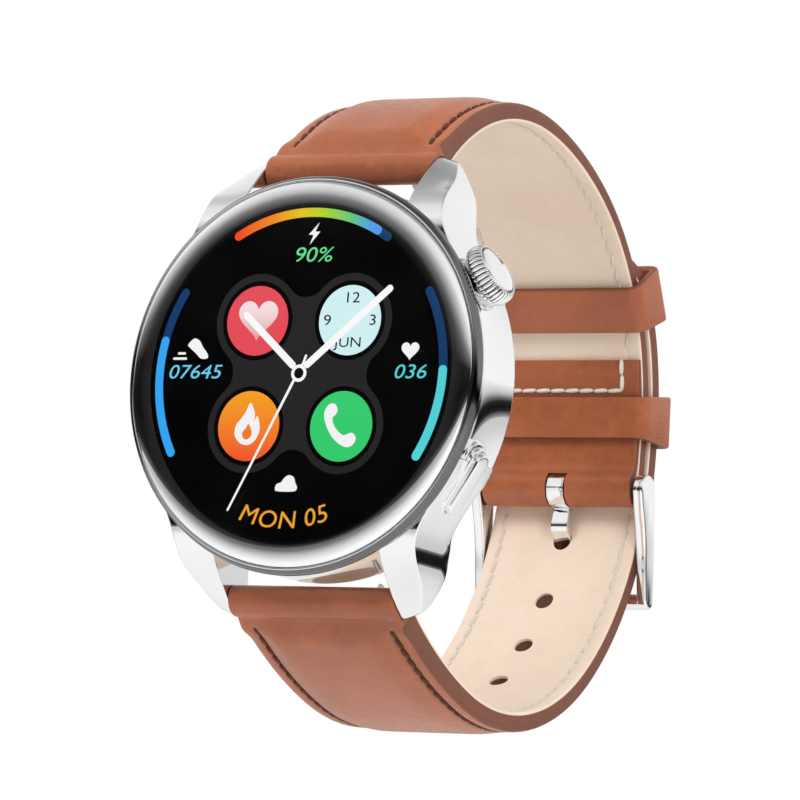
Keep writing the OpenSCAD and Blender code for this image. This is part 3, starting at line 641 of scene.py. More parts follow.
# where a colour's change lies, when it isn't spread over the whole dial
dialSpans = {"fire": ("Z", (-0.0100, -0.0022)), "heart": ("Z", (0.0035, 0.0075)),
             "charge": ("X", (-0.0097, 0.0088))}
signs = {
    "flame": [(0.25, 2.75), (0.95, 1.5), (1.0, 0.5), (1.35, 1.15), (1.75, 0.1), (1.75, -0.9), (1.2, -1.95),
              (0.2, -2.45), (-0.9, -2.15), (-1.65, -1.2), (-1.55, 0.0), (-0.95, 0.75), (-0.35, 1.6)],
    "flameHole": [(0.15, 0.15), (0.65, -0.55), (0.7, -1.25), (0.2, -1.75), (-0.4, -1.6), (-0.6, -0.95),
                  (-0.15, -0.35)],
    "phone": [(-1.55, 2.45), (-0.75, 2.6), (-0.25, 1.9), (-0.45, 1.25), (-0.85, 0.85), (-0.6, 0.0),
              (0.05, -0.75), (0.8, -1.25), (1.35, -1.1), (2.05, -0.95), (2.6, -1.55), (2.3, -2.35),
              (1.4, -2.7), (0.1, -2.15), (-1.05, -1.05), (-1.85, 0.4), (-2.05, 1.5)],
    "bolt": [(0.55, 1.25), (-0.75, -0.15), (-0.12, -0.15), (-0.5, -1.3), (0.75, 0.2), (0.1, 0.2)],
    "shoe": [(-0.3, 1.35), (0.55, 1.0), (1.0, 0.3), (1.75, -0.55), (1.85, -1.15), (0.9, -1.2), (0.1, -0.55),
             (-0.75, 0.1), (-1.15, 0.55)],
    "cloud": [(-1.35, -0.85), (1.2, -0.85), (1.65, -0.3), (1.35, 0.25), (1.0, 1.05), (0.2, 1.3), (-0.5, 0.85),
              (-0.85, 0.35), (-1.5, 0.1), (-1.7, -0.45)]}


def layerY(level):
    return screen["frontY"] - screen["step"] * level


def thicken(bm, faces, colour):
    # gives flat faces a thin body towards the front, all of one colour
    ink = list(dialLooks).index(colour)
    grown = bmesh.ops.extrude_face_region(bm, geom=faces)["geom"]
    moved = [item for item in grown if isinstance(item, bmesh.types.BMVert)]
    bmesh.ops.translate(bm, verts=moved, vec=(0, -screen["thick"], 0))
    for vert in moved + [vert for face in faces for vert in face.verts]:
        for face in vert.link_faces:
            face.material_index = ink


def flatShape(bm, outlines, level, colour):
    # fills closed (x, z) outlines, the inner ones as holes
    edges = []
    for outline in outlines:
        verts = [bm.verts.new((x, layerY(level), z)) for x, z in outline]
        edges += [bm.edges.new(pair) for pair in zip(verts, verts[1:] + verts[:1])]
    filled = bmesh.ops.triangle_fill(bm, use_beauty=True, edges=edges)["geom"]
    thicken(bm, [item for item in filled if isinstance(item, bmesh.types.BMFace)], colour)


def disc(x, z, radius, steps=72):
    return arcPoints((x, z), radius, 0, 360 - 360 / steps, steps - 1)


def arcBand(radius, width, start, end):
    # a band with round ends
    steps = max(8, int(abs(end - start) * 1.2))
    half = width / 2
    outline = []
    for r, first, last in ((radius + half, start, end), (radius - half, end, start)):
        a = math.radians(last)
        turn = end if last == end else start + 180
        outline += arcPoints((0, 0), r, first, last, steps)
        outline += arcPoints((radius * math.cos(a), radius * math.sin(a)), half, turn, turn + 180, 10)[1:-1]
    return outline


def bar(x0, z0, x1, z1, w0, w1):
    # a straight bar with round ends, as wide as w0 at its start and w1 at its end
    a = math.degrees(math.atan2(z1 - z0, x1 - x0))
    return arcPoints((x1, z1), w1 / 2, a - 90, a + 90, 10) + arcPoints((x0, z0), w0 / 2, a + 90, a + 270, 10)


def heart(x, z, size):
    out = []
    for i in range(64):
        t = 2 * math.pi * i / 64
        rise = 13 * math.cos(t) - 5 * math.cos(2 * t) - 2 * math.cos(3 * t) - math.cos(4 * t)
        out.append((x + size * math.sin(t) ** 3, z + size * rise / 16))
    return out


def cloverOutline():
    # four lobes joined by hollows that touch them
    at, lobe, waist = screen["discAt"], screen["lobeR"], screen["lobeWaist"]
    drop = waist - at
    hollow = (at * at + drop * drop - lobe * lobe) / (2 * (lobe - drop))
    lean = math.degrees(math.atan2(waist + hollow - at, at))
    out = []
    for quarter in range(4):
        local = arcPoints((at, at), lobe, lean - 90, 180 - lean, 48)
        local += arcPoints((0, waist + hollow), hollow, -lean, lean - 180, 24)[1:-1]
        out += placed(local, 0, 0, 1.0, 90 * quarter)
    return out


def loopClosed(points, steps=8):
    # a smooth closed curve through the points
    out = []
    for i in range(len(points)):
        near = [points[(i + k) % len(points)] for k in (-1, 0, 1, 2)]
        out += [curvePoint(near, j / steps).to_tuple() for j in range(steps)]
    return out


def placed(points, x, z, size=1.0, turn=0.0):
    c, s = math.cos(math.radians(turn)), math.sin(math.radians(turn))
    return [(x + size * (c * a - s * b), z + size * (s * a + c * b)) for a, b in points]


def writeText(bm, text, x, z, size, level, colour, curveR=None, lean=screen["textLean"], spacing=1.0,
              wide=screen["textWide"]):
    # with curveR the words follow a circle round the middle of the dial
    data = bpy.data.curves.new("words", "FONT")
    data.body = text
    data.size = size
    data.align_x = "CENTER"
    data.align_y = "CENTER"
    data.shear = lean
    data.space_character = spacing
    data.resolution_u = 4
    words = bpy.data.objects.new("words", data)
    scene.collection.objects.link(words)
    mesh = fresh(words)
    bpy.data.objects.remove(words)
    old = set(bm.verts)
    bm.from_mesh(mesh)
    bpy.data.meshes.remove(mesh)
    bmesh.ops.remove_doubles(bm, verts=[v for v in bm.verts if v not in old], dist=1e-5)
    for v in [v for v in bm.verts if v not in old]:
        v.co.x *= wide
        if curveR:
            a = -math.pi / 2 + v.co.x / curveR
            r = curveR - v.co.y
            v.co = (x + r * math.cos(a), layerY(level), r * math.sin(a))
        else:
            v.co = (x + v.co.x, layerY(level), z + v.co.y)
    thicken(bm, [f for f in bm.faces if f.verts[0] not in old], colour)


def drawIcons(bm):
    at = screen["discAt"]
    flatShape(bm, [cloverOutline()], 1, "clover")
    for colour, x, z in (("redDisc", -at, at), ("paleDisc", at, at), ("fire", -at, -at),
                         ("callDisc", at, -at)):
        flatShape(bm, [disc(x, z, screen["discR"] + screen["discRim"])], 2, "cloverRing")
        flatShape(bm, [disc(x, z, screen["discR"])], 3, colour)
    flatShape(bm, [heart(-at + 0.05, at + 0.35, 2.6)], 4, "heart")
    flame = [placed(loopClosed(signs[part]), -at - 0.2, -at + 0.1, 0.94) for part in ("flame", "flameHole")]
    flatShape(bm, flame, 4, "white")
    flatShape(bm, [placed(loopClosed(signs["phone"]), at - 0.4, -at + 0.15, 0.94)], 4, "white")
    for text, x, z, size in (("12", 0.05, 2.55, 1.75), ("9", -2.95, -0.05, 1.75), ("3", 3.0, -0.05, 1.75),
                             ("JUN", 0.0, -2.6, 1.65)):
        writeText(bm, text, at + x, at + z, size, 4, "black", lean=0.0)


def drawArcs(bm):
    for start, end, level, colour in ((57.2, 70, 1, "deepBlue"), (62.0, 121.0, 2, "charge"),
                                      (149.6, 170, 1, "deepBlue"), (168.2, 209.5, 2, "lightBlue"),
                                      (-4, 30.2, 1, "deepBlue"), (-30.4, 1.2, 2, "cyan")):
        flatShape(bm, [arcBand(screen["arcR"], screen["arcWidth"], start, end)], level, colour)


def drawReadings(bm):
    flatShape(bm, [placed(signs["bolt"], 0.45, 16.2)], 1, "white")
    writeText(bm, "90%", 0.45, 13.65, 2.45, 1, "green")
    flatShape(bm, [placed(loopClosed(signs["shoe"], 4), -14.1, 2.85, 0.92)], 1, "white")
    flatShape(bm, [bar(-16.9, 1.75, -15.3, 1.75, 0.28, 0.28)], 1, "white")
    flatShape(bm, [bar(-16.3, 2.35, -15.5, 2.35, 0.28, 0.28)], 1, "white")
    writeText(bm, "07645", -14.0, 0.12, 2.3, 1, "skyText")
    flatShape(bm, [heart(14.25, 2.65, 1.15)], 1, "white")
    writeText(bm, "036", 14.4, 0.1, 2.3, 1, "cyan")
    flatShape(bm, [placed(loopClosed(signs["cloud"], 6), -0.45, -12.85, 0.86)], 1, "white")
    writeText(bm, "MON 05", -0.55, 0, 2.85, 1, "orange", curveR=17.0, lean=0.12, spacing=1.02, wide=1.12)


def drawHands(bm):
    # hour, minute, second and its tail, then the ring at the middle
    flatShape(bm, [bar(-0.95, 0.95, -7.6, 6.75, 0.85, 0.85)], 6, "white")
    flatShape(bm, [bar(1.0, 1.0, 11.0, 9.7, 0.85, 0.85)], 6, "white")
    flatShape(bm, [bar(0.25, 0.9, -7.9, -15.8, 0.34, 0.26)], 7, "white")
    flatShape(bm, [bar(0.35, 0.8, 0.75, 2.0, 0.3, 0.3)], 7, "white")
    flatShape(bm, [disc(0, 0, 1.0, 48)], 8, "white")
    flatShape(bm, [disc(0, 0, 0.62, 48)], 9, "black")


def makeScreen():
    bm = bmesh.new()
    lathe(bm, [(0.0, -10.88), (20.6, -10.88), (20.72, -10.84), (20.75, -10.78), (20.75, -9.76), (0.0, -9.76)],
          160)
    finishPiece("displayPanel", bm, "watch", [panelBlack], 40, ["display_panel"])
    materials = [litMaterial("lit" + name[0].upper() + name[1:], stops, *dialSpans.get(name, ()))
                 for name, stops in dialLooks.items()]
    bm = bmesh.new()
    drawIcons(bm)
    drawArcs(bm)
    drawReadings(bm)
    drawHands(bm)
    finishPiece("dialPicture", bm, "watch", materials, 20)


makeScreen()
print("screen made")


# Strap
strap = {"width": 21.6, "widthBack": 20.4, "taperFrom": -10, "taperTo": 60, "lining": 0.36,
         "shortLeather": 2.1, "longLeather": 2.4, "pad": 1.5, "padLength": 46, "foldR": 1.85, "barOff": 2.05,
         "stitchIn": 1.7, "grooveDepth": 0.42, "grooveWide": 0.42, "edgeR": 0.42, "tailTurn": 46}
loop = {"arcY": 23.1, "arcZ": 3.3, "arcR": 30.8, "tailGap": 0.5, "barZ": -3.4, "barY": 53.95, "barFoldR": 2.1,
        "lugBar": (-3.1, 25.2), "flapTurn": 17.5, "flapT": 0.8, "flapY": 54,
        "lowHeading": -34.3}
# turns of the two halves between the lugs and the true arc at the back
topLegs = [(39.2, 20.8), (27.5, 57.6), (0, 2.6)]
lowLegs = [(0, 5), (50, 16.5), (30, 61.8)]
sharpTurn = 40


def ahead(place, s):
    # straight on from a place on a path
    y, z, h = place[:3]
    return y + s * math.cos(math.radians(h)), z + s * math.sin(math.radians(h)), h


def walkPath(start, legs, step=0.4):
    # (y, z, heading, distance) along straight legs (0, length) and turning legs (radius, degrees)
    y, z, heading = start
    points = [(y, z, heading, 0.0)]
    for radius, amount in legs:
        length = amount if radius == 0 else radius * math.radians(amount)
        count = max(1, math.ceil(length / step))
        for i in range(1, count + 1):
            s = length * i / count
            if radius == 0:
                py, pz, h = ahead((y, z, heading), s)
            else:
                h = heading + math.degrees(s / radius)
                py = y + radius * (math.sin(math.radians(h)) - math.sin(math.radians(heading)))
                pz = z - radius * (math.cos(math.radians(h)) - math.cos(math.radians(heading)))
            points.append((py, pz, h, points[-1][3] + length / count))
        y, z, heading = points[-1][:3]
    return points


def spot(path, s):
    if s <= 0:
        return ahead(path[0], s)
    if s >= path[-1][3]:
        return ahead(path[-1], s - path[-1][3])
    low, high = 0, len(path) - 1
    while high - low > 1:
        middle = (low + high) // 2
        low, high = (middle, high) if path[middle][3] <= s else (low, middle)
    a, b = path[low], path[high]
    t = (s - a[3]) / (b[3] - a[3])
    return tuple(a[i] + (b[i] - a[i]) * t for i in range(3))


shortTop = strap["shortLeather"]
backPath = walkPath((loop["arcY"] + loop["arcR"], loop["barZ"], 90),
                    [(0, loop["arcZ"] - loop["barZ"]), (loop["arcR"], 60)] + topLegs)
shortEnd = backPath[-1][3]
shortPath = [(y, z, h, shortEnd - s) for y, z, h, s in reversed(backPath)]
lowStart = loop["lowHeading"]
lowPath = walkPath((loop["lugBar"][0] - strap["barOff"] * math.sin(math.radians(lowStart)),
                    -loop["lugBar"][1] + strap["barOff"] * math.cos(math.radians(lowStart)), lowStart),
                   lowLegs)
tailR = loop["arcR"] + shortTop + loop["tailGap"]
rise = 90 - lowPath[-1][2]
riseR = (loop["arcY"] + tailR - lowPath[-1][0]) / (1 - math.cos(math.radians(rise)))
riseZ = lowPath[-1][1] + riseR * math.cos(math.radians(lowPath[-1][2]))
longPath = walkPath((lowPath[0][0], lowPath[0][1], lowStart),
                    lowLegs + [(riseR, rise), (0, loop["arcZ"] - riseZ), (tailR, strap["tailTurn"])])
longEnd = longPath[-1][3]


def spotBack(path, s):
    # the buckle half is measured from the lug, but its headings run the other way
    if s <= 0:
        return ahead(path[0], -s)
    if s >= path[-1][3]:
        return ahead(path[-1], path[-1][3] - s)
    return spot(path, s)


def across(place, section):
    # lays an (x, d) section square to the path; d is the height over the lining's face, outwards
    y, z, h = place[:3]
    a = math.radians(h)
    return [Vector((x, y + d * math.sin(a), z - d * math.cos(a))) for x, d in section]


def halfWidth(y):
    t = (y - strap["taperFrom"]) / (strap["taperTo"] - strap["taperFrom"])
    return (strap["width"] + (strap["widthBack"] - strap["width"]) * min(1, max(0, t))) / 2


def padAt(s):
    return strap["pad"] * max(0, 1 - s / strap["padLength"]) ** 2


# places of a section's points, from the edge in
acrossIn = [0.0, 0.05, 0.16, 0.34, 0.6, 0.95, 1.3, 1.5, 1.65, 1.8, 1.95, 2.1, 2.25, 2.4, 2.65, 3.0, 3.5, 4.2,
            5.2, 6.6, 8.4]
# half widths of the tail at distances from its end
tipShape = [(0.0, 0.15), (0.12, 1.7), (0.35, 3.1), (0.8, 4.6), (1.4, 5.9), (2.2, 7.1), (3.2, 8.2), (4.4, 9.1),
            (5.8, 9.8), (7.2, 10.2)]


def tipHalf(path, s, half):
    # the tail ends in a blunt rounded point
    if path is not longPath or longEnd - s >= tipShape[-1][0]:
        return half
    left = max(0.0, longEnd - s)
    for (u0, h0), (u1, h1) in zip(tipShape, tipShape[1:]):
        if left <= u1:
            return h0 + (h1 - h0) * (left - u0) / (u1 - u0)
    return half


def leatherRing(half, bottom, top, crown, dip, edgeR=strap["edgeR"], margin=0.0):
    # half section from the edge in, mirrored: rounded edge, stitch groove and crowned middle
    tall = max(0.05, top - bottom)
    edgeR = min(edgeR, tall * 0.45)

    def rise(e):
        lip = edgeR * (1 - math.sqrt(max(0, 1 - (1 - min(e, edgeR) / edgeR) ** 2)))
        hollow = dip * math.exp(-((e - strap["stitchIn"]) / strap["grooveWide"]) ** 2)
        return top - lip - hollow + crown * smooth(2.0, 4.8, e) - margin * (1 - smooth(0.2, 2.4, e)) ** 1.5

    squeeze = min(1.0, half / 9.0)
    upper = [(half - e * squeeze, rise(e)) for e in acrossIn]
    right = [(half, bottom + 0.06 + (upper[0][1] - bottom - 0.06) * k / 3) for k in range(3)]
    ring = [(0.0, bottom), (half - 0.06 * squeeze, bottom)] + right + upper + [(0.0, rise(half))]
    left = [(-x, d) for x, d in reversed(ring[1:-1])]
    return ring + left


def rollHalf(s):
    # half height at s of the leather's roll round a lug's bar, or None beyond it
    return math.sqrt(max(0.0, strap["foldR"] ** 2 - s * s)) if abs(s) < strap["foldR"] else None


def lugTop(s, full):
    half = rollHalf(s)
    roll = 0.0 if half is None else strap["barOff"] + half
    rise = smooth(1.3, 3.6, s)
    body = (full + padAt(s)) * rise + 3.3 * (1 - rise)
    return roll if s <= 0.6 else max(roll, body)


def lugBottom(s):
    half = rollHalf(s)
    low = 9.0 if half is None else strap["barOff"] - half
    return low if s <= 0 else min(strap["lining"] + 0.02, low)


def stations(end, tail=False):
    # places along a half where it has a section, closer together at the bar and at the tail's tip
    out = [-1.849, -1.8, -1.7, -1.5, -1.2, -0.8, -0.4, 0.0, 0.4, 0.8, 1.2, 1.5, 1.7, 1.85, 2.0, 2.2, 2.5, 2.8,
           3.1, 3.5, 3.9, 4.4]
    s = 5.0
    while s < end - (8.0 if tail else 0.5):
        out.append(s)
        s += 0.85
    if tail:
        out += [longEnd - u for u in (7.2, 6.4, 5.6, 4.8, 4.0, 3.4, 2.8, 2.2, 1.7, 1.3, 0.95, 0.65, 0.42,
                                      0.25, 0.12, 0.05)]
        return out + [longEnd]
    return out + [end]


def tuck(path, s):
    # the tail's last part bends in to the other half and thins out
    if path is not longPath:
        return 0.0, 1.0
    return -0.46 * smooth(longEnd - 16, longEnd - 6, s), 1 - 0.42 * smooth(longEnd - 9, longEnd, s)


def leatherRings(path, end, full, spotter):
    rings = []
    for s in stations(end, path is longPath):
        place = spotter(path, s)
        top, bottom = lugTop(s, full), lugBottom(s)
        if s < -1.84:
            top, bottom = strap["barOff"] + 0.1, strap["barOff"] - 0.1
        padShare = (padAt(s) / strap["pad"]) ** 0.7
        crown = 1.05 * padShare * smooth(1.8, 5, s) + 0.05 if s > 0 else 0
        margin = 0.4 * padShare * smooth(3, 6, s)
        dip = strap["grooveDepth"] * smooth(2.2, 3.6, s)
        half = tipHalf(path, s, halfWidth(place[0]) + 0.15 * (1 - smooth(2.5, 5, s)))
        shift, thin = tuck(path, s)
        top, bottom = top * thin + shift, bottom * thin + shift
        top -= 0.1 * smooth(3, 6, s)
        rings.append(across(place, leatherRing(half, bottom, top, crown, dip, margin=margin)))
    return rings


def bakeModifiers(piece):
    mesh = fresh(piece)
    piece.modifiers.clear()
    old = piece.data
    piece.data = mesh
    bpy.data.meshes.remove(old)


def cutHoles(piece, makeCutter, wall):
    # cuts with a scratch body, whose material the walls of the holes take
    bm = bmesh.new()
    makeCutter(bm)
    bmesh.ops.recalc_face_normals(bm, faces=bm.faces[:])
    bmesh.ops.scale(bm, vec=(mm, mm, mm), verts=bm.verts[:])
    mesh = bpy.data.meshes.new("cutter")
    bm.to_mesh(mesh)
    bm.free()
    mesh.materials.append(wall)
    cutter = bpy.data.objects.new("cutter", mesh)
    scene.collection.objects.link(cutter)
    cut = piece.modifiers.new("holes", "BOOLEAN")
    cut.operation = "DIFFERENCE"
    cut.solver = "EXACT"
    cut.material_mode = "TRANSFER"
    cut.object = cutter
    bakeModifiers(piece)
    bpy.data.objects.remove(cutter)
    piece.data.set_sharp_from_angle(angle=math.radians(sharpTurn))


holes = {"run": 69.6, "pitch": 7.5, "width": 2.4, "places": (-2, -1, 1, 2, 3), "slantR": 1.35,
         "slantSquash": 0.93,
         "slantShift": 0.3}
tongueShape = {"width": 2.3, "thick": 0.9, "bend": (54.0, -8.1), "exit": (57.5, -11.3), "bendR": 0.8,
               "eyeR": 2.3, "eyeHole": 0.82, "barR": 1.0, "reach": 13.6, "lean": -79.6, "slotGap": 0.36,
               "chamfer": 0.12}
tongueLean = math.radians(tongueShape["lean"])
frontBar = (loop["barY"] + tongueShape["reach"] * math.cos(tongueLean),
            loop["barZ"] + tongueShape["reach"] * math.sin(tongueLean))


def bentLine(corners, radius):
    # straight runs through (y, z) corners, turned with this radius
    headings = [math.degrees(math.atan2(b[1] - a[1], b[0] - a[0])) for a, b in zip(corners, corners[1:])]
    lengths = [math.dist(a, b) for a, b in zip(corners, corners[1:])]
    legs = []
    spare = 0.0
    for i, length in enumerate(lengths):
        turn = headings[i + 1] - headings[i] if i + 1 < len(headings) else 0.0
        cut = radius * math.tan(math.radians(abs(turn) / 2))
        legs.append((0, length - spare - cut))
        if turn:
            legs.append((math.copysign(radius, turn), turn))
        spare = cut
    return walkPath((*corners[0], headings[0]), legs, 0.25)


def tongueLine():
    t = tongueShape
    away = t["barR"] + t["thick"] / 2 + 0.05
    onBar = (frontBar[0] + away, frontBar[1])
    tip = (onBar[0] + 0.15, onBar[1] - 1.5)
    return bentLine([(loop["barY"] + 0.9, loop["barZ"] - 1.2), t["bend"], t["exit"], onBar, tip], t["bendR"])


def strapHoles(bm):
    radius = holes["width"] / 2
    for k in holes["places"]:
        y, z, h = spot(longPath, holes["run"] - k * holes["pitch"])
        drill = bmesh.ops.create_cone(bm, cap_ends=True, segments=40, radius1=radius, radius2=radius,
                                      depth=12)
        made = drill["verts"]
        bmesh.ops.rotate(bm, verts=made, matrix=Matrix.Rotation(math.radians(h + 180), 3, "X"))
        bmesh.ops.translate(bm, verts=made, vec=(0, y, z))
    # the tongue's own hole slants with it
    bend, leave = Vector(tongueShape["bend"]), Vector(tongueShape["exit"])
    along = (leave - bend).normalized()
    side = Vector((-along.y, along.x))
    rings = []
    for far in (-6, 6):
        ring = []
        for px, pz in arcPoints((0, 0), holes["slantR"], 0, 351, 39):
            spotAt = (bend + leave) / 2 + along * far + side * (pz - holes["slantShift"])
            ring.append(Vector((px * holes["slantSquash"], spotAt.x, spotAt.y)))
        rings.append(ring)
    loft(bm, rings)


def flapPath():
    # along the buckle half's turned-back end, inside the loop
    return walkPath((loop["barY"] - 0.05, loop["barZ"], 90),
                    [(0, loop["arcZ"] - loop["barZ"]), (loop["arcR"], loop["flapTurn"])], 0.5)


def foldPlaces():
    # the buckle half's end: round the bar and back along the lining, as (y, z, heading, bottom, top)
    out = []
    inner, outer = loop["flapT"], loop["barFoldR"]
    for i in range(1, 17):
        out.append((loop["barY"] - 0.02 * i / 16, loop["barZ"], 90 - 180 * i / 16, inner, outer))
    rest = flapPath()
    total = rest[-1][3]
    for y, z, h, s in rest[1:]:
        start, end = smooth(0.0, 3.6, s), smooth(0.8, 2.9, s)
        bottom = inner * (1 - start) + 0.02 * start
        top = outer * (1 - end) + (inner + 0.02) * end
        top = bottom + (top - bottom) * (1 - 0.35 * smooth(total - 1.0, total, s))
        out.append((y, z, h - 180, bottom, top))
    return out


def tongueSlot(bm):
    made = bmesh.ops.create_cube(bm, size=1)["verts"]
    bmesh.ops.scale(bm, verts=made, vec=(tongueShape["width"] + tongueShape["slotGap"], 14, 6.0))
    bmesh.ops.translate(bm, verts=made, vec=(0, loop["barY"] + 1.5, loop["barZ"] - 1.15))


def makeShortHalf():
    rings = leatherRings(shortPath, shortEnd, shortTop, spotBack)
    for *place, bottom, top in foldPlaces():
        rings.append(across(place, leatherRing(halfWidth(loop["flapY"]), bottom, top, 0.03, 0.0, 0.3)))
    bm = bmesh.new()
    loft(bm, rings)
    paintEdges(bm)
    piece = finishPiece("shortLeather", bm, "watch", [tan, tanEdge], sharpTurn,
                        ["short_leather"])
    cutHoles(piece, tongueSlot, tanEdge)


def paintEdges(bm):
    # the cut edges carry the darker edge paint
    for face in bm.faces:
        face.normal_update()
        centre = face.calc_center_median()
        fromBar = math.hypot(centre.y - loop["lugBar"][0], abs(centre.z) - loop["lugBar"][1])
        if abs(face.normal.x) > 0.72 and fromBar > 2.7:
            face.material_index = 1


def makeLongHalf():
    bm = bmesh.new()
    loft(bm, leatherRings(longPath, longEnd, strap["longLeather"], spot))
    paintEdges(bm)
    piece = finishPiece("longLeather", bm, "watch", [tan, tanEdge], sharpTurn,
                        ["long_leather"])
    cutHoles(piece, strapHoles, tanEdge)


def makeLining(name, path, start, end, spotter, node):
    rings = []
    for s in [start] + [s for s in stations(end, path is longPath) if s > start + 0.2]:
        place = spotter(path, s)
        half = tipHalf(path, s, halfWidth(place[0])) - 0.04
        squeeze = min(1.0, half / 9.0)
        shift, thin = tuck(path, s)
        top = strap["lining"] * thin
        section = [(0.0, top), (half, top), (half, 0.4 * top), (half - 0.05 * squeeze, 0.12 * top),
                   (half - 0.16 * squeeze, 0.0)]
        section += [(half - e * squeeze, 0.1 * thin * math.exp(-((e - strap["stitchIn"]) / 0.3) ** 2))
                    for e in acrossIn[4:]]
        section += [(0.0, 0.0)]
        section += [(-x, d) for x, d in reversed(section[1:-1])]
        rings.append(across(place, [(x, d + shift) for x, d in section]))
    bm = bmesh.new()
    loft(bm, rings)
    return finishPiece(name, bm, "watch", [cream], sharpTurn, [node])


stitching = {"slant": 0.16, "fill": 0.94, "outerPitch": 1.75, "outerR": 0.33, "liningPitch": 2.1,
             "liningR": 0.24, "flapRow": 12.3, "flapIn": 2.3, "flapHeight": 0.86, "flapR": 0.3,
             "flapCount": 8}


def addStitch(bm, place, along, out, length, radius):
    # one stitch: a fat capsule, with a UV map that runs along and round it for the twist
    made = bmesh.ops.create_uvsphere(bm, u_segments=8, v_segments=6, radius=1.0, calc_uvs=False)["verts"]
    cross = along.cross(out).normalized()
    basis = Matrix((cross * radius, out * radius * 0.8, along * length / 2)).transposed().to_4x4()
    for v in made:
        v.co.z = math.copysign(abs(v.co.z) ** 0.6, v.co.z)
    layer = bm.loops.layers.uv.verify()
    for face in {f for v in made for f in v.link_faces}:
        for corner in face.loops:
            p = corner.vert.co
            corner[layer].uv = (p.z * length, math.atan2(p.y, abs(p.x) + 0.01) * 0.6)
    bmesh.ops.transform(bm, matrix=Matrix.Translation(place) @ basis, verts=made)


def stitchRun(bm, path, spotter, start, end, side, heightOf, pitch, radius, outward=1):
    # a row of stitches along one edge; side is 1 or -1
    s = start
    while s + pitch <= end:
        middle = s + pitch / 2
        place = spotter(path, middle)
        a = math.radians(place[2])
        out = Vector((0, math.sin(a), -math.cos(a))) * outward
        point = across(place, [(side * (halfWidth(place[0]) - strap["stitchIn"]), heightOf(middle))])[0]
        lean = Vector((stitching["slant"], math.cos(a), math.sin(a))).normalized()
        addStitch(bm, point, lean, out, pitch * stitching["fill"], radius)
        s += pitch


def finishThread(name, bm, material):
    piece = finishPiece(name, bm, "watch", [material], 60)
    piece.data.uv_layers[0].name = "twist"


def makeStitches():
    k = stitching
    outer = bmesh.new()
    lining = bmesh.new()
    for path, spotter, end, full, liningEnd in (
            (shortPath, spotBack, shortEnd - 17, shortTop, shortEnd - 16.6),
            (longPath, spot, longEnd - 9, strap["longLeather"], longEnd - 9)):

        def grooveHeight(s):
            shift, thin = tuck(path, s)
            return (lugTop(s, full) - 0.1) * thin - strap["grooveDepth"] + 0.12 + shift

        for side in (1, -1):
            stitchRun(outer, path, spotter, 2.9, end, side, grooveHeight, k["outerPitch"], k["outerR"])
            stitchRun(lining, path, spotter, 3.0, liningEnd, side, lambda s: 0.02, k["liningPitch"],
                      k["liningR"], -1)
    finishThread("outerStitches", outer, brownThread)
    finishThread("flapStitches", flapStitches(), creamThread)
    finishThread("liningStitches", lining, liningThread)


def flapStitches():
    # one row across the turned-back end and two stitches down each side of it
    k = stitching
    bm = bmesh.new()
    flap = flapPath()
    edge = halfWidth(loop["flapY"]) - k["flapIn"]
    step = 2 * edge / k["flapCount"]
    row = [(k["flapRow"], -edge + (i + 0.5) * step) for i in range(k["flapCount"])]
    downs = [(k["flapRow"] + 1.0 + i * 2.0, side * edge) for side in (1, -1) for i in range(2)]
    for s, x in row + downs:
        y, z, h = spot(flap, s)
        a = math.radians(h)
        inwards = Vector((0, -math.sin(a), math.cos(a)))
        crosswise = s == k["flapRow"]
        along = Vector((1, 0, 0.05)) if crosswise else Vector((0.06, math.cos(a), math.sin(a)))
        addStitch(bm, Vector((x, y, z)) + inwards * k["flapHeight"], along.normalized(), inwards,
                  step * 0.99 if crosswise else 2.0, k["flapR"])
    return bm


makeShortHalf()
makeLongHalf()
makeLining("shortLining", shortPath, 1.4, shortEnd - 1.2, spotBack, "short_lining")
cutHoles(makeLining("longLining", longPath, 1.4, longEnd, spot, "long_lining"), strapHoles, cream)
makeStitches()
print("strap made")


# Keepers
keepers = {"thick": 1.1, "gap": 0.35, "freeAt": 29.6, "freeWidth": 5.8, "fixedAt": 4.0, "fixedWidth": 5.4,
           "inR": 0.5, "softGap": 0.15, "edgeR": 0.28, "wave": 0.015, "waveTurn": 0.55, "spacing": 1.2}


def keeperRoute(low, high):
    # round the strap as (x, r, nx, nr): a rounded box between two radii, and its outward direction
    k = keepers
    cornerR = k["inR"] + k["thick"] / 2
    edge = strap["widthBack"] / 2 + k["gap"] + k["thick"] / 2
    corners = [(edge - cornerR, high - cornerR, 0), (cornerR - edge, high - cornerR, 90),
               (cornerR - edge, low + cornerR, 180), (edge - cornerR, low + cornerR, 270)]
    route = []
    for x, r, start in corners:
        for i in range(9):
            a = math.radians(start + 90 * i / 8)
            route.append((x + cornerR * math.cos(a), r + cornerR * math.sin(a), math.cos(a), math.sin(a)))
    dense = []
    for a, b in zip(route, route[1:] + route[:1]):
        count = max(1, int(math.hypot(b[0] - a[0], b[1] - a[1]) / k["spacing"]))
        dense += [tuple(a[q] + (b[q] - a[q]) * j / count for q in range(4)) for j in range(count)]
    return dense


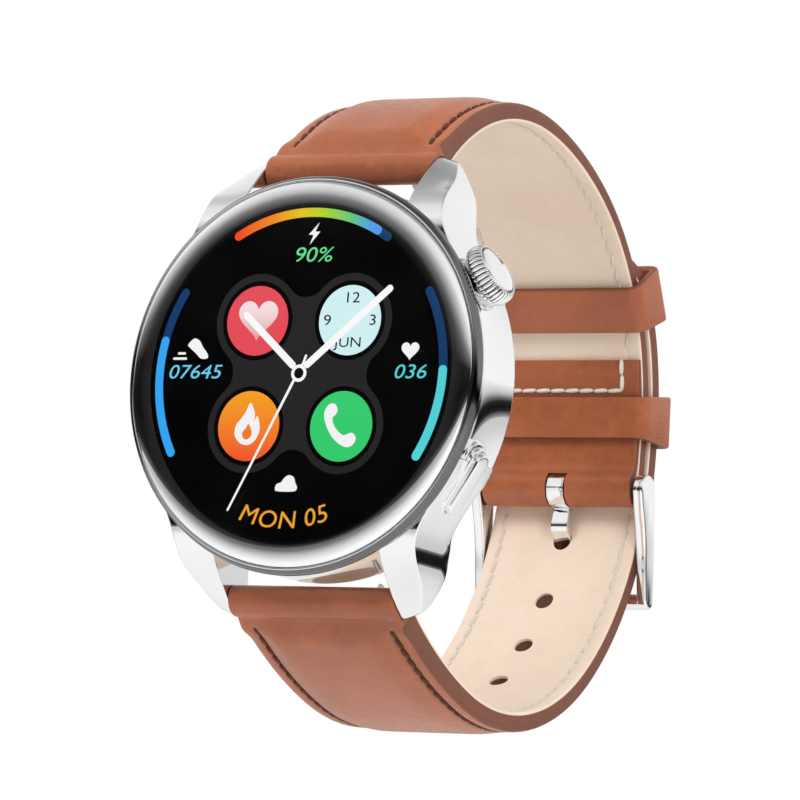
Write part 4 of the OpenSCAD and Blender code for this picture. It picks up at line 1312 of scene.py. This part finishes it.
def keeperPiece(name, middle, width, inset, body, node):
    # a leather band whose section is a rounded bar, bent to the loop's curve
    k = keepers
    deep, wide = k["thick"] / 2 - k["edgeR"], width / 2 - k["edgeR"]
    section = []
    for cx, cy, start in ((deep, wide, 0), (-deep, wide, 90), (-deep, -wide, 180), (deep, -wide, 270)):
        section += arcPoints((cx, cy), k["edgeR"], start, start + 90, 3)
    low = loop["arcR"] - inset - k["softGap"] - k["thick"] / 2
    high = tailR + strap["longLeather"] + k["softGap"] + k["thick"] / 2
    rings = []
    for n, (x, r, nx, nr) in enumerate(keeperRoute(low, high)):
        sag = k["wave"] * math.sin(n * k["waveTurn"])
        ring = []
        for dt, dw in section:
            turn = math.radians(middle) + dw / loop["arcR"]
            out = r + nr * (dt + sag)
            ring.append(Vector((x + nx * (dt + sag), loop["arcY"] + out * math.cos(turn),
                                loop["arcZ"] + out * math.sin(turn))))
        rings.append(ring)
    bm = bmesh.new()
    loft(bm, rings + rings[:1], capped=False)
    bmesh.ops.remove_doubles(bm, verts=bm.verts[:], dist=1e-4)
    along = Vector((0, -math.sin(math.radians(middle)), math.cos(math.radians(middle))))
    for face in bm.faces:
        face.normal_update()
        if abs(face.normal.dot(along)) > 0.8:
            face.material_index = 1
    finishPiece(name, bm, body, [tan, tanEdge], 45, [node])


keeperPiece("freeKeeper", keepers["freeAt"], keepers["freeWidth"], 0, "sliding_keeper", "free_keeper")
keeperPiece("fixedKeeper", keepers["fixedAt"], keepers["fixedWidth"], loop["flapT"], "watch", "fixed_keeper")
print("keepers made")


# Buckle
buckle = {"armIn": 10.55, "armT": 1.4, "earR": 1.9, "bevel": 0.34, "barInArm": 0.2}


def onArm(x, along, off):
    # a point on an arm: along it from the spring bar, and off its middle line
    return Vector((x, loop["barY"] + along * math.cos(tongueLean) - off * math.sin(tongueLean),
                   loop["barZ"] + along * math.sin(tongueLean) + off * math.cos(tongueLean)))


def makeBuckleFrame():
    b, reach, barR = buckle, tongueShape["reach"], tongueShape["barR"]
    upper = spline([(0.0, b["earR"]), (2.2, 1.85), (4.6, 1.62), (7.5, 1.5), (10.5, 1.3), (reach, barR)], 6)
    lower = spline([(reach, -barR), (10.5, -1.02), (7.5, -0.98), (4.6, -1.2), (2.2, -1.62),
                    (0.0, -b["earR"])], 6)
    outline = [(p.x, p.y) for p in upper[:-1]] + arcPoints((reach, 0), barR, 90, -90, 12)
    outline += [(p.x, p.y) for p in lower[1:]] + arcPoints((0, 0), b["earR"], 270, 90, 24)[1:-1]
    bm = bmesh.new()
    for side in (1, -1):
        face = bm.faces.new([bm.verts.new(onArm(side * b["armIn"], u, v)) for u, v in outline])
        grown = bmesh.ops.extrude_face_region(bm, geom=[face])["geom"]
        moved = [item for item in grown if isinstance(item, bmesh.types.BMVert)]
        bmesh.ops.translate(bm, verts=moved, vec=(side * b["armT"], 0, 0))
        flats = [face] + [item for item in grown if isinstance(item, bmesh.types.BMFace)]
        rims = {edge for flat in flats for edge in flat.edges}
        bmesh.ops.recalc_face_normals(bm, faces=bm.faces[:])
        bmesh.ops.bevel(bm, geom=list(rims), offset=b["bevel"], segments=4, profile=0.5, affect="EDGES",
                        material=-1)
    barRound = arcPoints((0, 0), barR, 0, 345, 23)
    ends = b["armIn"] + b["barInArm"]
    loft(bm, [[onArm(ends * (i / 12 - 1), reach + u, v) for u, v in barRound] for i in range(25)])
    finishPiece("buckleFrame", bm, "buckle", [polished], 45, ["buckle_frame"])


def makeTongue():
    # a faceted band round the spring bar, and a strip that goes out through the hole
    t = tongueShape
    half, thick = t["width"] / 2, t["thick"] / 2
    centre = (loop["barY"], loop["barZ"])
    rings = []
    outer, inner = (arcPoints(centre, radius, 0, 330, 11) for radius in (t["eyeR"], t["eyeHole"]))
    for out, hole in zip(outer, inner):
        rings.append([Vector((x, *point)) for x, point in ((-half, hole), (-half, out), (half, out),
                                                           (half, hole))])
    bm = bmesh.new()
    loft(bm, rings + rings[:1], capped=False)
    bmesh.ops.remove_doubles(bm, verts=bm.verts[:], dist=1e-4)
    line = tongueLine()
    end = line[-1][3]
    strip = []
    for y, z, h, s in line:
        taper = 1 - 0.25 * smooth(end - 1.5, end, s)
        section = [(-half, thick), (half, thick), (half, -thick), (-half, -thick)]
        strip.append(across((y, z, h), [(x * taper, d * taper) for x, d in section]))
    loft(bm, strip)
    bmesh.ops.recalc_face_normals(bm, faces=bm.faces[:])
    sharpEdges = [e for e in bm.edges if len(e.link_faces) == 2 and e.calc_face_angle(0) > math.radians(24)]
    bmesh.ops.bevel(bm, geom=sharpEdges, offset=t["chamfer"], segments=2, profile=0.5, affect="EDGES",
                    material=-1)
    finishPiece("buckleTongue", bm, "tongue", [polished], 22, ["buckle_tongue"])


makeBuckleFrame()
makeTongue()
print("buckle made")


# Studio
def makeFloor():
    bm = bmesh.new()
    bmesh.ops.create_circle(bm, cap_ends=True, segments=96, radius=studio["floorSize"] * mm)
    bmesh.ops.translate(bm, verts=bm.verts[:], vec=(0, 0.02, studio["floorZ"] * mm))
    mesh = bpy.data.meshes.new("floor")
    bm.to_mesh(mesh)
    bm.free()
    floor = bpy.data.objects.new("floor", mesh)
    scene.collection.objects.link(floor)
    material, tree, shader = startMaterial("paleFloor", studio["floorColour"], 0.7)
    speck = noise(tree, objectPoint(tree), 40, 3)
    low = tuple(c * 0.985 for c in studio["floorColour"])
    tree.links.new(ramp(tree, speck, [(0.3, low), (0.7, studio["floorColour"])]), shader.inputs["Base Color"])
    mesh.materials.append(material)


def frontToBack(tree, facing, pair):
    # goes from the pair's first value behind the watch to its second one in front
    near, far = studio["turnover"]
    spans = {"From Min": near, "From Max": far, "To Min": pair[0], "To Max": pair[1]}
    node = addNode(tree, "MapRange", spans, interpolation_type="SMOOTHSTEP")
    tree.links.new(facing, node.inputs["Value"])
    return node.outputs["Result"]


def makeSky():
    world = bpy.data.worlds.new("studio")
    scene.world = world
    world.use_nodes = True
    tree = world.node_tree
    place = addNode(tree, "TexCoord")
    split = addNode(tree, "SeparateXYZ")
    tree.links.new(place.outputs["Generated"], split.inputs["Vector"])
    height = addNode(tree, "MapRange", {"From Min": -1.0, "From Max": 1.0})
    tree.links.new(split.outputs["Z"], height.inputs["Value"])
    base = ramp(tree, height.outputs["Result"], greys(studio["skyStops"]))
    # a dark band lies along the horizon, tall in front and thin behind
    front = addNode(tree, "VectorMath", operation="DOT_PRODUCT")
    tree.links.new(place.outputs["Generated"], front.inputs[0])
    front.inputs[1].default_value = studio["front"]
    facing = front.outputs["Value"]
    middle, half = (frontToBack(tree, facing, studio[key]) for key in ("bandMiddle", "bandHalf"))
    away = combine(tree, "ABSOLUTE", combine(tree, "SUBTRACT", split.outputs["Z"], middle), 0)
    share = combine(tree, "DIVIDE", away, half)
    # a ramp ends at 1, so the band's places are halved
    halved = greys([(at / 2.0, value) for at, value in studio["bandStops"]])
    band = ramp(tree, combine(tree, "DIVIDE", share, 2.0), halved)
    banded = addNode(tree, "MixRGB", {"Fac": 1.0}, blend_type="MULTIPLY")
    tree.links.new(base, banded.inputs["Color1"])
    tree.links.new(band, banded.inputs["Color2"])
    # the camera itself sees white
    ray = addNode(tree, "LightPath")
    mix = addNode(tree, "MixRGB", {"Color2": (1, 1, 1, 1)})
    tree.links.new(ray.outputs["Is Camera Ray"], mix.inputs["Fac"])
    tree.links.new(banded.outputs["Color"], mix.inputs["Color1"])
    tree.links.new(mix.outputs["Color"], tree.nodes["Background"].inputs["Color"])


def makeLamps():
    # the lamps don't show in the polished metal, which reflects only the sky
    for name, lamp in lamps.items():
        data = bpy.data.lights.new(name, "AREA")
        data.shape = "RECTANGLE"
        data.size, data.size_y = (side * mm for side in lamp["size"])
        data.energy = lamp["power"]
        at, aim = Vector(lamp["at"]) * mm, Vector(lamp["aim"]) * mm
        made = bpy.data.objects.new(name, data)
        made.visible_glossy = False
        made.matrix_world = Matrix.Translation(at) @ (at - aim).to_track_quat("Z", "Y").to_matrix().to_4x4()
        scene.collection.objects.link(made)


makeFloor()
makeSky()
makeLamps()
print("studio made")
